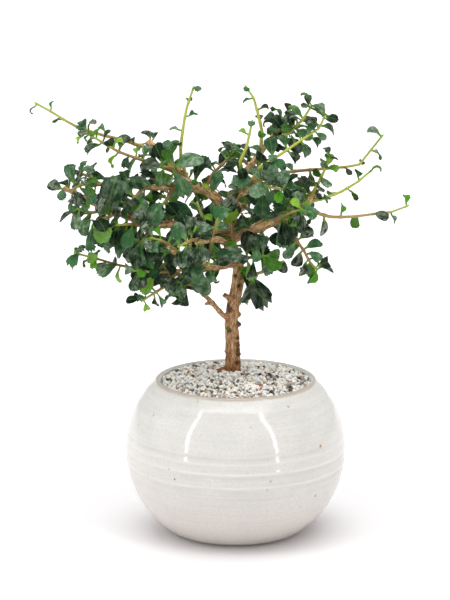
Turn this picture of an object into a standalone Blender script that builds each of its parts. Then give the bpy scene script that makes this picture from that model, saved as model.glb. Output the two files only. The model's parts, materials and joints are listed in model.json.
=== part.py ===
"""Bonsai tree in a round, wheel-thrown pot.

A small-leaved tree stands in soil under a layer of stone grit. The origin is the middle of the pot's
underside, on the surface the pot stands on. X runs to the right, Y to the back and Z up. Routes and sizes
are written in millimetres and multiplied by MM where a shape is made.
"""

import math
import random
from typing import NamedTuple

import bmesh
import bpy
from mathutils import Matrix, Vector
from mathutils.bvhtree import BVHTree

MM = 0.001
FIT_GAP = 0.3                 # clearance between neighbouring pieces

# Pot
POT_HEIGHT = 107.0
BELLY_RADIUS = 75.6
BELLY_HEIGHT = 60.0
FOOT_RADIUS = 44.0
POT_ROUNDNESS = 2.15          # exponent of the superellipse that the outer wall follows
RIM_THICKNESS = 4.0
RIM_RADIUS = 55.5             # outer radius where the rim's rounding starts
WALL_THICKNESS = 6.0
FLOOR_THICKNESS = 8.0
FOOT_BEVEL = 1.2
POT_SEGMENTS = 30
HOLLOW_RINGS = 6              # rings of the hollow's wall, which the soil and grit share
DRAIN_HOLE_COUNT = 3
DRAIN_HOLE_RADIUS = 4.5
DRAIN_CIRCLE_RADIUS = 22.0
DRAIN_FIRST_ANGLE = math.radians(80)

# Pot contents
MESH_RADIUS = 32.0
MESH_THICKNESS = 1.0
MESH_HOLE_SIZE = 3.4
MESH_HOLE_PITCH = 7.0
SOIL_TOP = 97.0
GRIT_EDGE_HEIGHT = 103.6
GRIT_CROWN_HEIGHT = 108.2
GRIT_BUMP = 0.5

# Wood
TRUNK_SIDES = 10
LIMB_SIDES = 8
STEM_SIDES = 4
WOOD_STEP = 8.0               # spacing of the rings along a trunk or limb
STEM_STEP = 11.0              # spacing of the rings along a shoot

# Leaves
LEAF_THICKNESS = 0.7
LEAF_WIDTH_RATIO = 0.68       # widest part over length
LEAF_TIP_RATIO = 0.6          # width at the tip over the widest part
PETIOLE_LENGTH = 2.2
PETIOLE_WIDTH = 0.9
LEAF_BASE = 1.5               # stretch of shoot that a leaf grows from
LEAF_CLEARANCE = 0.35
LEAF_TRIES = 24
FIRST_SEED = 100
CROWN_CENTRE = Vector((-5, 5, 225))
LIGHT_SIDE = Vector((0.0, -0.75, 0.75))   # the side that the leaves turn their faces to


class Limb(NamedTuple):
    """A bark-covered limb: what it grows from, its radii and its route, all in millimetres."""

    parents: tuple
    base_radius: float
    tip_radius: float
    route: list


class Shoot(NamedTuple):
    """A leafy shoot: its parent, route, number of leaf nodes, leaves at each and their lengths."""

    parent: str
    nodes: int
    leaves_per_node: int
    shortest: float
    longest: float
    route: list


TRUNK_ROUTE = [(-2, 15, 84), (-2, 15, 98), (-2, 13, 127), (-3, 12, 146), (-1, 11, 159), (1, 10, 169),
               (2, 9, 181), (0, 8, 191), (-4, 7, 201), (-5, 6, 210), (-5, 6, 220)]
TRUNK_RADII = (6.0, 4.9, 3.9)     # at the soil, half way up and at the fork

ROOTS = [
    [(-2, 15, 107), (-9, 14, 108), (-15, 12, 104), (-28, 6, 90), (-34, 2, 76)],
    [(-2, 15, 100), (8, 18, 97), (22, 24, 88), (32, 28, 74)],
    [(-2, 15, 100), (-6, 25, 96), (-14, 36, 84), (-18, 40, 70)],
    [(-2, 15, 98), (3, 4, 95), (8, -12, 84), (10, -22, 70)],
    [(-2, 15, 90), (-2, 14, 76), (-4, 10, 56), (-2, 4, 40)],
]
ROOT_RADII = (3.2, 1.0)

LIMBS = {
    "left_upper_limb": Limb(("trunk",), 3.4, 2.4, [
        (-5, 6, 219), (-13, 3, 231), (-21, 2, 238), (-31, 5, 241), (-41, 10, 250), (-51, 14, 259),
        (-60, 16, 269)]),
    "centre_right_limb": Limb(("trunk", "left_upper_limb"), 3.0, 1.3, [
        (-4, 7, 218), (-1, 9, 226), (0, 9, 234), (5, 8, 246), (10, 8, 253), (18, 12, 263),
        (23, 13, 270), (29, 14, 277)]),
    "left_level_limb": Limb(("left_upper_limb",), 2.1, 1.3, [
        (-30, 5, 241), (-38, 0, 240), (-58, -8, 241), (-78, -14, 244), (-97, -18, 245)]),
    "left_middle_limb": Limb(("trunk",), 3.1, 1.4, [
        (-4, 7, 208), (-24, -6, 212), (-43, -14, 217), (-60, -18, 217), (-71, -20, 223),
        (-90, -24, 231), (-106, -26, 240), (-115, -27, 244)]),
    "front_left_limb": Limb(("trunk",), 2.5, 1.8, [
        (0, 8, 186), (-16, -14, 188), (-29, -30, 196), (-45, -46, 207)]),
    "low_limb": Limb(("trunk",), 2.3, 1.4, [
        (-3, 12, 146), (-9, 7, 150), (-18, -4, 163), (-31, -16, 177), (-40, -26, 187), (-49, -34, 194)]),
    "right_inner_limb": Limb(("centre_right_limb",), 2.7, 2.3, [
        (-3, 7, 233), (2, 2, 235), (8, -2, 239), (17, -8, 248)]),
    "right_limb": Limb(("trunk",), 3.1, 2.5, [
        (-4, 7, 202), (6, 0, 208), (18, -6, 214), (28, -8, 219), (40, -8, 224), (47, -6, 229),
        (52, -4, 237)]),
    "back_limb": Limb(("trunk",), 2.4, 1.4, [(-5, 6, 211), (-2, 25, 213), (2, 48, 214), (8, 70, 214)]),
    "front_limb": Limb(("trunk",), 2.3, 1.4, [
        (-4, 7, 198), (-11, -12, 206), (-19, -34, 210), (-26, -54, 212)]),
}

SHOOTS = {
    "far_left_shoot": Shoot("left_upper_limb", 8, 1, 7, 12, [
        (-57, 15, 266), (-72, 12, 269), (-91, 4, 275), (-108, -3, 282), (-121, -8, 291),
        (-134, -12, 299)]),
    "far_left_low_shoot": Shoot("left_upper_limb", 5, 2, 9, 16, [
        (-41, 10, 250), (-57, 2, 256), (-78, -8, 265), (-93, -14, 275), (-102, -16, 280)]),
    "top_left_shoot": Shoot("left_upper_limb", 6, 1, 8, 14, [
        (-35, 8, 246), (-38, 9, 260), (-36, 8, 276), (-33, 6, 293), (-28, 4, 308)]),
    "upper_left_spur": Shoot("left_upper_limb", 2, 3, 15, 24, [
        (-37, 8, 247), (-42, -3, 254), (-50, -11, 256)]),
    "level_tip_spur": Shoot("left_level_limb", 2, 2, 10, 15, [
        (-94, -18, 245), (-98, -20, 251), (-104, -22, 253)]),
    "level_middle_spur": Shoot("left_level_limb", 2, 3, 14, 22, [
        (-63, -10, 242), (-68, -18, 236), (-72, -26, 231)]),
    "level_inner_spur": Shoot("left_level_limb", 2, 3, 14, 21, [
        (-43, -3, 241), (-47, -10, 233), (-51, -14, 227)]),
    "middle_tip_shoot": Shoot("left_middle_limb", 3, 3, 12, 18, [
        (-109, -26, 241), (-105, -34, 247), (-98, -40, 250)]),
    "middle_low_shoot": Shoot("left_middle_limb", 2, 3, 14, 20, [
        (-88, -23, 230), (-97, -30, 228), (-105, -36, 232)]),
    "middle_droop_shoot": Shoot("left_middle_limb", 3, 2, 18, 27, [
        (-81, -22, 227), (-87, -33, 225), (-95, -42, 222)]),
    "middle_front_shoot": Shoot("left_middle_limb", 3, 2, 14, 22, [
        (-62, -18, 218), (-69, -29, 220), (-80, -38, 221)]),
    "middle_hanging_spur": Shoot("left_middle_limb", 2, 3, 18, 28, [
        (-56, -17, 217), (-59, -27, 212), (-63, -36, 209)]),
    "middle_back_shoot": Shoot("left_middle_limb", 3, 2, 13, 19, [
        (-43, -14, 217), (-48, -4, 222), (-57, 6, 226), (-68, 14, 228)]),
    "lower_left_shoot": Shoot("front_left_limb", 7, 2, 12, 20, [
        (-14, -11, 187), (-30, -15, 183), (-46, -18, 183), (-62, -20, 187), (-80, -22, 191),
        (-94, -25, 196), (-107, -28, 200)]),
    "lower_left_hanging_shoot": Shoot("front_left_limb", 4, 2, 14, 20, [
        (-25, -25, 193), (-38, -32, 189), (-52, -38, 189), (-66, -42, 191)]),
    "lowest_left_shoot": Shoot("low_limb", 3, 2, 10, 16, [
        (-40, -26, 187), (-46, -36, 180), (-54, -42, 176), (-63, -46, 171)]),
    "low_tip_shoot": Shoot("low_limb", 3, 2, 14, 20, [(-46, -31, 192), (-53, -28, 193), (-62, -31, 190)]),
    "low_front_shoot": Shoot("low_limb", 2, 3, 15, 22, [
        (-33, -18, 179), (-34, -32, 181), (-36, -44, 184)]),
    "front_left_tip_shoot": Shoot("front_left_limb", 3, 2, 11, 16, [
        (-41, -42, 204), (-48, -42, 211), (-57, -46, 214)]),
    "front_left_top_spur": Shoot("front_left_limb", 2, 3, 13, 19, [
        (-33, -33, 199), (-32, -36, 207), (-35, -38, 215)]),
    "front_tip_shoot": Shoot("front_limb", 3, 2, 13, 18, [
        (-25, -51, 212), (-31, -64, 215), (-38, -76, 214)]),
    "front_low_shoot": Shoot("front_limb", 3, 2, 14, 20, [
        (-17, -28, 209), (-18, -40, 201), (-18, -52, 196)]),
    "front_rising_shoot": Shoot("front_limb", 3, 2, 12, 17, [
        (-19, -34, 210), (-14, -44, 220), (-12, -50, 230)]),
    "yellow_left_shoot": Shoot("trunk", 4, 1, 9, 13, [
        (-5, 6, 213), (-13, -9, 218), (-20, -16, 220), (-24, -20, 226), (-26, -22, 234)]),
    "centre_left_shoot": Shoot("left_upper_limb", 5, 2, 10, 16, [
        (-21, 2, 238), (-17, 10, 246), (-8, 16, 254), (0, 21, 261)]),
    "yellow_centre_shoot": Shoot("centre_right_limb", 5, 1, 8, 12, [
        (6, 7, 248), (3, -4, 258), (7, -8, 268), (9, -8, 277), (11, -8, 287)]),
    "top_shoot": Shoot("centre_right_limb", 5, 1, 8, 12, [
        (19, 12, 264), (18, 14, 275), (15, 12, 288), (12, 10, 299), (6, 8, 308)]),
    "right_top_shoot": Shoot("centre_right_limb", 3, 3, 11, 15, [
        (27, 14, 275), (31, 17, 282), (38, 19, 288)]),
    "right_top_outer_shoot": Shoot("centre_right_limb", 4, 3, 11, 15, [
        (24, 13, 271), (36, 6, 276), (45, 0, 286), (51, -2, 296)]),
    "centre_back_shoot": Shoot("centre_right_limb", 4, 2, 12, 16, [
        (10, 8, 252), (4, 24, 256), (-4, 38, 261)]),
    "green_right_shoot": Shoot("right_inner_limb", 6, 2, 11, 16, [
        (13, -5, 244), (17, -11, 256), (29, -14, 264), (44, -18, 275), (55, -20, 283), (59, -22, 292)]),
    "right_upper_shoot": Shoot("right_inner_limb", 8, 1, 10, 16, [
        (15, -7, 246), (30, 2, 249), (46, 8, 250), (66, 12, 251), (84, 14, 253), (91, 14, 262),
        (100, 12, 274)]),
    "right_inner_front_shoot": Shoot("right_inner_limb", 3, 3, 13, 18, [
        (12, -5, 243), (16, -22, 245), (23, -36, 246), (33, -46, 246)]),
    "right_long_shoot": Shoot("right_limb", 6, 1, 9, 13, [
        (45, -7, 228), (54, -10, 224), (64, -8, 221), (80, -2, 220), (93, 2, 221), (106, 5, 222),
        (118, 8, 226)]),
    "right_middle_shoot": Shoot("right_limb", 5, 1, 9, 14, [
        (49, -5, 232), (58, 4, 231), (71, 8, 235), (82, 10, 241), (93, 12, 250)]),
    "yellow_right_shoot": Shoot("right_limb", 4, 2, 10, 15, [
        (51, -4, 236), (55, -8, 243), (59, -9, 252), (64, -9, 263)]),
    "right_front_shoot": Shoot("right_limb", 4, 3, 13, 19, [
        (28, -8, 219), (32, -24, 225), (37, -38, 230), (43, -50, 234)]),
    "right_back_shoot": Shoot("right_limb", 3, 3, 12, 18, [(35, -8, 222), (38, 10, 227), (44, 28, 231)]),
    "right_drop_shoot": Shoot("right_limb", 5, 2, 12, 18, [
        (32, -8, 221), (36, -12, 213), (40, -14, 207), (46, -16, 199), (50, -18, 191), (55, -20, 187)]),
    "right_low_shoot": Shoot("trunk", 4, 1, 14, 20, [
        (1, 10, 175), (11, 0, 179), (21, -8, 184), (27, -14, 188), (32, -18, 193)]),
    "front_right_shoot": Shoot("trunk", 3, 3, 13, 19, [
        (1, 9, 187), (7, -8, 193), (12, -24, 196), (19, -36, 200)]),
    "back_left_shoot": Shoot("left_upper_limb", 4, 3, 12, 18, [
        (-19, 2, 236), (-27, 24, 233), (-39, 46, 232), (-54, 66, 234)]),
    "back_tip_shoot": Shoot("back_limb", 3, 3, 12, 18, [(7, 66, 214), (2, 80, 219), (10, 96, 223)]),
    "back_right_shoot": Shoot("right_limb", 4, 3, 12, 18, [
        (7, -1, 208), (18, 22, 213), (34, 44, 219), (50, 62, 224)]),
    "back_rising_shoot": Shoot("back_limb", 3, 3, 12, 18, [
        (0, 36, 213), (8, 43, 223), (16, 50, 233), (20, 54, 243)]),
}
SHOOT_BASE_RADIUS = 1.2
SHOOT_TIP_RADIUS = 0.6

COLOURS = {
    "glaze": ((0.76, 0.74, 0.69), 0.15),
    "plastic": ((0.02, 0.02, 0.02), 0.6),
    "soil": ((0.05, 0.03, 0.02), 0.95),
    "grit": ((0.62, 0.58, 0.54), 0.9),
    "bark": ((0.36, 0.20, 0.10), 0.85),
    "leaf": ((0.02, 0.07, 0.03), 0.4),
}


# ---------------------------------------------------------------- helpers

def material(name):
    """Principled material with the part's colour, roughness and no metal."""
    colour, roughness = COLOURS[name]
    result = bpy.data.materials.get(name) or bpy.data.materials.new(name)
    result.use_nodes = True
    shader = result.node_tree.nodes["Principled BSDF"]
    shader.inputs["Base Color"].default_value = (*colour, 1.0)
    shader.inputs["Roughness"].default_value = roughness
    shader.inputs["Metallic"].default_value = 0.0
    return result


def add_object(name, bm, material_name, smooth_angle=math.radians(40)):
    """Turn a bmesh made in millimetres into a named object in metres."""
    bmesh.ops.recalc_face_normals(bm, faces=bm.faces)
    bmesh.ops.scale(bm, vec=(MM, MM, MM), verts=bm.verts)
    mesh = bpy.data.meshes.new(name)
    bm.to_mesh(mesh)
    bm.free()
    mesh.materials.append(material(material_name))
    mesh.shade_smooth()
    mesh.set_sharp_from_angle(angle=smooth_angle)
    result = bpy.data.objects.new(name, mesh)
    bpy.context.scene.collection.objects.link(result)
    return result


def boolean(target, cutter, operation):
    """Cut a closed object out of a target, or join it on, and keep the cutter as a hidden guide."""
    cutter.hide_render = True
    cutter.display_type = "WIRE"
    modifier = target.modifiers.new(f"{operation.lower()} {cutter.name}", "BOOLEAN")
    modifier.operation = operation
    modifier.solver = "EXACT"
    modifier.object = cutter


def smooth_route(route, step):
    """Points about a step apart on a smooth curve through a route's own points."""
    knots = [Vector(point) for point in route]
    knots = [2 * knots[0] - knots[1], *knots, 2 * knots[-1] - knots[-2]]
    points = [knots[1]]
    for before, start, end, after in zip(knots, knots[1:], knots[2:], knots[3:]):
        count = max(1, round((end - start).length / step))
        for index in range(1, count + 1):
            t = index / count
            points.append(0.5 * (2 * start + (end - before) * t
                                 + (2 * before - 5 * start + 4 * end - after) * t ** 2
                                 + (3 * start - before - 3 * end + after) * t ** 3))
    return points


def lengths_along(points):
    """Distance from the start to each point of a polyline."""
    total = [0.0]
    for start, end in zip(points, points[1:]):
        total.append(total[-1] + (end - start).length)
    return total


def point_at(points, distance):
    """Point at a distance along a polyline."""
    total = lengths_along(points)
    index = max(place for place in range(len(points) - 1) if total[place] <= distance or place == 0)
    return points[index] + (points[index + 1] - points[index]).normalized() * (distance - total[index])


def rings_along(points, radii, sides, first_direction=None):
    """Corner points of a tube's rings, turned as little as possible from one ring to the next."""
    directions = [(after - before).normalized()
                  for before, after in zip([points[0], *points[:-1]], [*points[1:], points[-1]])]
    if first_direction:
        directions[0] = first_direction
    across = directions[0].orthogonal().normalized()
    rings = []
    for point, radius, direction in zip(points, radii, directions):
        across = (across - direction * across.dot(direction)).normalized()
        other = direction.cross(across)
        angles = [2 * math.pi * side / sides for side in range(sides)]
        rings.append([point + radius * (math.cos(angle) * across + math.sin(angle) * other)
                      for angle in angles])
    return rings


def sweep(rings):
    """Closed tube through rings of corner points; gives the bmesh and each segment's side faces."""
    bm = bmesh.new()
    foot = [bm.verts.new(corner) for corner in rings[0]]
    cap = bm.faces.new(foot)
    segments = []
    for ring in rings[1:]:
        cap = bmesh.ops.extrude_discrete_faces(bm, faces=[cap])["faces"][0]
        for vertex, corner in zip(cap.verts, ring):
            vertex.co = corner
        segments.append([face for edge in cap.edges for face in edge.link_faces if face is not cap])
    bm.faces.new(foot[::-1])
    bm.normal_update()
    return bm, segments


def lathe(profile, segments):
    """Closed solid turned round Z from (radius, height) points that start and end on the axis."""
    bm = bmesh.new()
    points = [bm.verts.new((radius, 0, height)) for radius, height in profile]
    edges = [bm.edges.new(pair) for pair in zip(points, points[1:])]
    bmesh.ops.spin(bm, geom=points + edges, axis=(0, 0, 1), cent=(0, 0, 0), dvec=(0, 0, 0),
                   angle=2 * math.pi, steps=segments, use_merge=True)
    bmesh.ops.remove_doubles(bm, verts=bm.verts, dist=0.001)
    return bm


def taper(radii, fraction):
    """Radius at a fraction of the way along evenly spaced radii."""
    place = fraction * (len(radii) - 1)
    index = min(int(place), len(radii) - 2)
    return radii[index] + (radii[index + 1] - radii[index]) * (place - index)


# ---------------------------------------------------------------- pot and what it holds

def pot_outer_radius(height):
    """Radius of the pot's outer wall: a superellipse through the foot, the belly and the rim."""
    edge_radius = FOOT_RADIUS if height < BELLY_HEIGHT else RIM_RADIUS
    edge_height = 0.0 if height < BELLY_HEIGHT else POT_HEIGHT - RIM_THICKNESS / 2
    reach = (1 - (edge_radius / BELLY_RADIUS) ** POT_ROUNDNESS) ** (1 / POT_ROUNDNESS)
    semi_axis = abs(edge_height - BELLY_HEIGHT) / reach
    drop = min(1.0, abs(height - BELLY_HEIGHT) / semi_axis)
    return BELLY_RADIUS * (1 - drop ** POT_ROUNDNESS) ** (1 / POT_ROUNDNESS)


def heights_between(low, high, count):
    """Evenly spaced heights, both ends included."""
    return [low + (high - low) * index / (count - 1) for index in range(count)]


def hollow_rings():
    """(Radius, height) of the hollow's rings: the outer wall less a thickness that falls to the rim's."""
    top = POT_HEIGHT - RIM_THICKNESS / 2
    rings = []
    for height in heights_between(FLOOR_THICKNESS + 4, top, HOLLOW_RINGS):
        share = max(0.0, (height - BELLY_HEIGHT) / (top - BELLY_HEIGHT))
        thickness = WALL_THICKNESS + (RIM_THICKNESS - WALL_THICKNESS) * share
        rings.append((pot_outer_radius(height) - thickness, height))
    return rings


def hollow_radius(height):
    """Radius of the hollow at a height, straight between its rings."""
    rings = hollow_rings()
    for (low_radius, low), (high_radius, high) in zip(rings, rings[1:]):
        if height <= high:
            return low_radius + (high_radius - low_radius) * (height - low) / (high - low)
    return rings[-1][0]


def make_pot():
    """Thin-walled round pot with a flat underside and three drain holes."""
    top = POT_HEIGHT - RIM_THICKNESS / 2
    profile = [(0, 0), (pot_outer_radius(0) - FOOT_BEVEL, 0)]
    profile += [(pot_outer_radius(height), height) for height in heights_between(FOOT_BEVEL, top, 9)]
    for angle in (45, 90, 135):
        lean = math.radians(angle)
        profile.append((RIM_RADIUS - RIM_THICKNESS / 2 * (1 - math.cos(lean)),
                        top + RIM_THICKNESS / 2 * math.sin(lean)))
    profile += hollow_rings()[::-1]
    profile += [(hollow_rings()[0][0] - 5, FLOOR_THICKNESS), (0, FLOOR_THICKNESS)]
    pot = add_object("pot", lathe(profile, POT_SEGMENTS), "glaze")
    for index in range(DRAIN_HOLE_COUNT):
        angle = DRAIN_FIRST_ANGLE + 2 * math.pi * index / DRAIN_HOLE_COUNT
        bm = bmesh.new()
        bmesh.ops.create_cone(bm, cap_ends=True, segments=12, radius1=DRAIN_HOLE_RADIUS,
                              radius2=DRAIN_HOLE_RADIUS, depth=4 * FLOOR_THICKNESS)
        bmesh.ops.translate(bm, verts=bm.verts, vec=(DRAIN_CIRCLE_RADIUS * math.cos(angle),
                                                     DRAIN_CIRCLE_RADIUS * math.sin(angle), 0))
        boolean(pot, add_object(f"drain_hole_cutter_{index + 1}", bm, "glaze"), "DIFFERENCE")
    return pot


def make_drainage_mesh():
    """Plastic mesh disc on the pot's floor, with square holes over each drain hole."""
    bm = bmesh.new()
    bmesh.ops.create_cone(bm, cap_ends=True, segments=24, radius1=MESH_RADIUS, radius2=MESH_RADIUS,
                          depth=MESH_THICKNESS)
    height = FLOOR_THICKNESS + FIT_GAP + MESH_THICKNESS / 2
    bmesh.ops.translate(bm, verts=bm.verts, vec=(0, 0, height))
    disc = add_object("drainage_mesh", bm, "plastic")
    cutter = bmesh.new()
    for index in range(DRAIN_HOLE_COUNT):
        angle = DRAIN_FIRST_ANGLE + 2 * math.pi * index / DRAIN_HOLE_COUNT
        for column in (-0.5, 0.5):
            for row in (-0.5, 0.5):
                place = Vector((DRAIN_CIRCLE_RADIUS * math.cos(angle) + column * MESH_HOLE_PITCH,
                                DRAIN_CIRCLE_RADIUS * math.sin(angle) + row * MESH_HOLE_PITCH, height))
                cube = bmesh.ops.create_cube(cutter, size=MESH_HOLE_SIZE)
                bmesh.ops.translate(cutter, verts=cube["verts"], vec=place)
    boolean(disc, add_object("mesh_hole_cutter", cutter, "plastic"), "DIFFERENCE")
    return disc


def make_soil():
    """Soil from just over the drainage mesh up to the grit."""
    floor = FLOOR_THICKNESS + MESH_THICKNESS + 2 * FIT_GAP
    profile = [(0, floor), (hollow_rings()[0][0] - 6, floor)]
    profile += [(radius - 2 * FIT_GAP, height) for radius, height in hollow_rings() if height < SOIL_TOP]
    profile += [(hollow_radius(SOIL_TOP) - 2 * FIT_GAP, SOIL_TOP), (0, SOIL_TOP)]
    return add_object("soil", lathe(profile, POT_SEGMENTS), "soil")


def make_grit():
    """Bumpy mound of stone grit that fills the pot's mouth."""
    generator = random.Random(7)
    base = SOIL_TOP + FIT_GAP
    edge = hollow_radius(GRIT_EDGE_HEIGHT) - 2 * FIT_GAP
    profile = [(0, base), (hollow_radius(base) - 2 * FIT_GAP, base), (edge, GRIT_EDGE_HEIGHT - 2)]
    ring_count = 5
    for ring in range(ring_count):
        share = 1 - ring / ring_count
        height = GRIT_EDGE_HEIGHT + (GRIT_CROWN_HEIGHT - GRIT_EDGE_HEIGHT) * (1 - share ** 1.6)
        profile.append(((edge - 1) * share, height))
    profile.append((0, GRIT_CROWN_HEIGHT))
    bm = lathe(profile, POT_SEGMENTS)
    for vertex in bm.verts:
        if vertex.co.z > GRIT_EDGE_HEIGHT - 1:
            vertex.co.z += generator.uniform(-GRIT_BUMP, GRIT_BUMP)
    return add_object("stone_grit", bm, "grit")


# ---------------------------------------------------------------- wood

def wood_line(route, radii, step=WOOD_STEP):
    """Smooth line of a trunk, root or limb, with the radius at each of its points."""
    points = smooth_route(route, step)
    total = lengths_along(points)
    return points, [taper(radii, distance / total[-1]) for distance in total]


def wood_tube(points, radii, sides, grow=0.0):
    """Closed tube along a line of wood; grow makes a fatter, longer one for cutting or guarding."""
    if grow:
        ends = [points[0] - (points[1] - points[0]).normalized() * grow,
                points[-1] + (points[-1] - points[-2]).normalized() * grow]
        points = [ends[0], *points[1:-1], ends[1]]
        radii = [radius + grow / math.cos(math.pi / sides) for radius in radii]
    bm, _ = sweep(rings_along(points, radii, sides))
    return bm


def make_trunk(soil, grit):
    """Trunk with its roots as one piece, and the room for it in the soil and the grit."""
    line = wood_line(TRUNK_ROUTE, TRUNK_RADII)
    trunk = add_object("trunk", wood_tube(*line, TRUNK_SIDES), "bark")
    bodies = [("trunk", line, TRUNK_SIDES)]
    for index, route in enumerate(ROOTS):
        root_line = wood_line(route, ROOT_RADII, step=12)
        root = add_object(f"root_{index + 1}_guide", wood_tube(*root_line, 6), "bark")
        boolean(trunk, root, "UNION")
        bodies.append((f"root_{index + 1}", root_line, 6))
    for name, (points, radii), sides in bodies:
        cutter = add_object(f"{name}_room_cutter", wood_tube(points, radii, sides, FIT_GAP), "bark")
        for target in (soil, grit):
            boolean(target, cutter, "DIFFERENCE")
    return line


def make_limbs(trunk_line):
    """Limbs, each cut clear of what it grows from; gives the line of every piece of wood."""
    lines = {"trunk": trunk_line}
    for name, limb in LIMBS.items():
        line = wood_line(limb.route, (limb.base_radius, limb.tip_radius))
        body = add_object(name, wood_tube(*line, LIMB_SIDES), "bark")
        for parent in limb.parents:
            cutter_name = f"{parent}_fork_cutter"
            sides = TRUNK_SIDES if parent == "trunk" else LIMB_SIDES
            cutter = bpy.data.objects.get(cutter_name)
            if cutter is None:
                cutter = add_object(cutter_name, wood_tube(*lines[parent], sides, FIT_GAP), "bark")
            boolean(body, cutter, "DIFFERENCE")
        lines[name] = line
    return lines


# ---------------------------------------------------------------- leafy shoots

class Leaf(NamedTuple):
    """One leaf: the stem segment and side it grows from, the ways it points and its size."""

    segment: int
    side: int
    origin: Vector
    outward: Vector
    forward: Vector
    upper: Vector
    length: float
    droop: float


def leaf_sections(leaf, grow=0.0):
    """Corner points of a leaf's cross sections, from the end of its stalk to its tip."""
    width = leaf.length * LEAF_WIDTH_RATIO
    plan = ((0.0, PETIOLE_WIDTH), (0.68, width), (1.0, width * LEAF_TIP_RATIO))
    place = leaf.origin + (0.7 * leaf.outward + 0.5 * leaf.forward) * PETIOLE_LENGTH
    across = leaf.forward.cross(leaf.upper).normalized()
    sections = []
    before = 0.0
    for share, section_width in plan:
        bend = Matrix.Rotation(-leaf.droop * (share + before) / 2, 3, across)
        place = place + (bend @ leaf.forward) * (share - before) * leaf.length
        normal = Matrix.Rotation(-leaf.droop * share, 3, across) @ leaf.upper
        half_width = across * (section_width / 2 + grow)
        half_thickness = normal * (LEAF_THICKNESS / 2 + grow)
        sections.append([place - half_width - half_thickness, place - half_width + half_thickness,
                         place + half_width + half_thickness, place + half_width - half_thickness])
        before = share
    return sections


def tree_through(rings):
    """Search tree of the closed tube through rings of corner points."""
    sides = len(rings[0])
    corners = [corner for ring in rings for corner in ring]
    faces = [tuple(range(sides)), tuple(range(len(corners) - sides, len(corners)))]
    for start in range(0, len(corners) - sides, sides):
        for side in range(sides):
            after = (side + 1) % sides
            faces.append((start + side, start + after, start + sides + after, start + sides + side))
    return BVHTree.FromPolygons(corners, faces)


def nearest_on_line(points, target):
    """Index of the nearest segment of a polyline to a point, the point on it and its direction."""
    best = None
    for index, (start, end) in enumerate(zip(points, points[1:])):
        along = end - start
        share = min(1.0, max(0.0, (target - start).dot(along) / along.length_squared))
        foot = start + along * share
        if best is None or (target - foot).length < best[0]:
            best = ((target - foot).length, index, foot, along.normalized())
    return best[1:]


def shoot_rings(shoot, lines):
    """Rings of a shoot that starts square on its parent's surface, and the leaf node after each ring."""
    parent_points, parent_radii = lines[shoot.parent]
    index, foot, along = nearest_on_line(parent_points, Vector(shoot.route[0]))
    leaving = Vector(shoot.route[1]) - foot
    leaving = (leaving - along * leaving.dot(along)).normalized()
    start = foot + leaving * (max(parent_radii[index:index + 2]) + FIT_GAP)
    points = smooth_route([start, start + leaving * 2.0, *shoot.route[1:]], STEM_STEP)
    total = lengths_along(points)[-1]
    spacing = total / (shoot.nodes + 0.35)
    marks = {0.0: None, total: None}
    for node in range(shoot.nodes):
        distance = max(3.5, total - 2.2 - spacing * (shoot.nodes - 1 - node))
        marks[distance - LEAF_BASE / 2] = node
        marks[distance + LEAF_BASE / 2] = None
    for distance in lengths_along(points)[1:-1]:
        if all(abs(distance - mark) > 2.5 for mark in marks):
            marks[distance] = None
    ordered = sorted(marks)
    places = [point_at(points, distance) for distance in ordered]
    radii = [taper((SHOOT_BASE_RADIUS, SHOOT_TIP_RADIUS), distance / total) for distance in ordered]
    return rings_along(places, radii, STEM_SIDES, leaving), [marks[distance] for distance in ordered]


def touches(tree, others):
    """Whether a search tree meets any of the others."""
    return any(tree.overlap(other) for other in others)


def try_leaf(shoot, node, turn, rings, segment, side, generator):
    """A leaf that leaves one side of a stem segment, aimed outward and turned to the light."""
    low, high = rings[segment], rings[segment + 1]
    axis_point = sum([*low, *high], Vector()) / (2 * STEM_SIDES)
    after = (side + 1) % STEM_SIDES
    origin = (low[side] + low[after] + high[after] + high[side]) / 4
    outward = (origin - axis_point).normalized()
    along = (sum(rings[-1], Vector()) - sum(rings[0], Vector())).normalized()
    share = node / max(1, shoot.nodes - 1)
    wander = Vector([generator.uniform(-0.5, 0.5) for _ in range(3)])
    forward = (outward + along * (0.3 + 0.5 * share) + wander + Vector((0, 0.15, 0.1))).normalized()
    from_crown = (origin - CROWN_CENTRE).normalized()
    upper = LIGHT_SIDE + from_crown * 0.5 + Vector([generator.uniform(-0.5, 0.5) for _ in range(3)])
    upper = (upper - forward * upper.dot(forward)).normalized()
    length = generator.uniform(shoot.shortest, shoot.longest) * (1.0 - 0.35 * share) * (1.0 - 0.02 * turn)
    return Leaf(segment, side, origin, outward, forward, upper, length,
                math.radians(generator.uniform(10, 60)))


def place_leaves(shoot, rings, marks, others, leaves, generator):
    """Leaves of one shoot that clear all other wood and stems and every leaf placed so far."""
    stem = tree_through(rings)
    placed = []
    for node in range(shoot.nodes):
        if shoot.leaves_per_node == 1:
            sides = [(0, 2, 1, 3)[node % STEM_SIDES]]
        else:
            sides = [(2 * node + step) % STEM_SIDES for step in (0, 2, 1, 3)][:shoot.leaves_per_node]
        siblings = []
        for side in sides:
            for turn in range(LEAF_TRIES):
                leaf = try_leaf(shoot, node, turn, rings, marks.index(node), side, generator)
                guard = leaf_sections(leaf, LEAF_CLEARANCE)
                exact = leaf_sections(leaf)
                guard_foot = [leaf.origin + (corner - guard[0][0]) * 0.4 for corner in guard[0]]
                exact_foot = [leaf.origin + (corner - exact[0][0]) * 0.4 for corner in exact[0]]
                if touches(tree_through(guard), [stem, *[blade for blade, _ in siblings]]):
                    continue
                if touches(tree_through([guard_foot, *guard]), others + leaves):
                    continue
                siblings.append((tree_through(exact), tree_through([exact_foot, *exact])))
                placed.append(leaf)
                break
        leaves += [whole for _, whole in siblings]
    return placed


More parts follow.
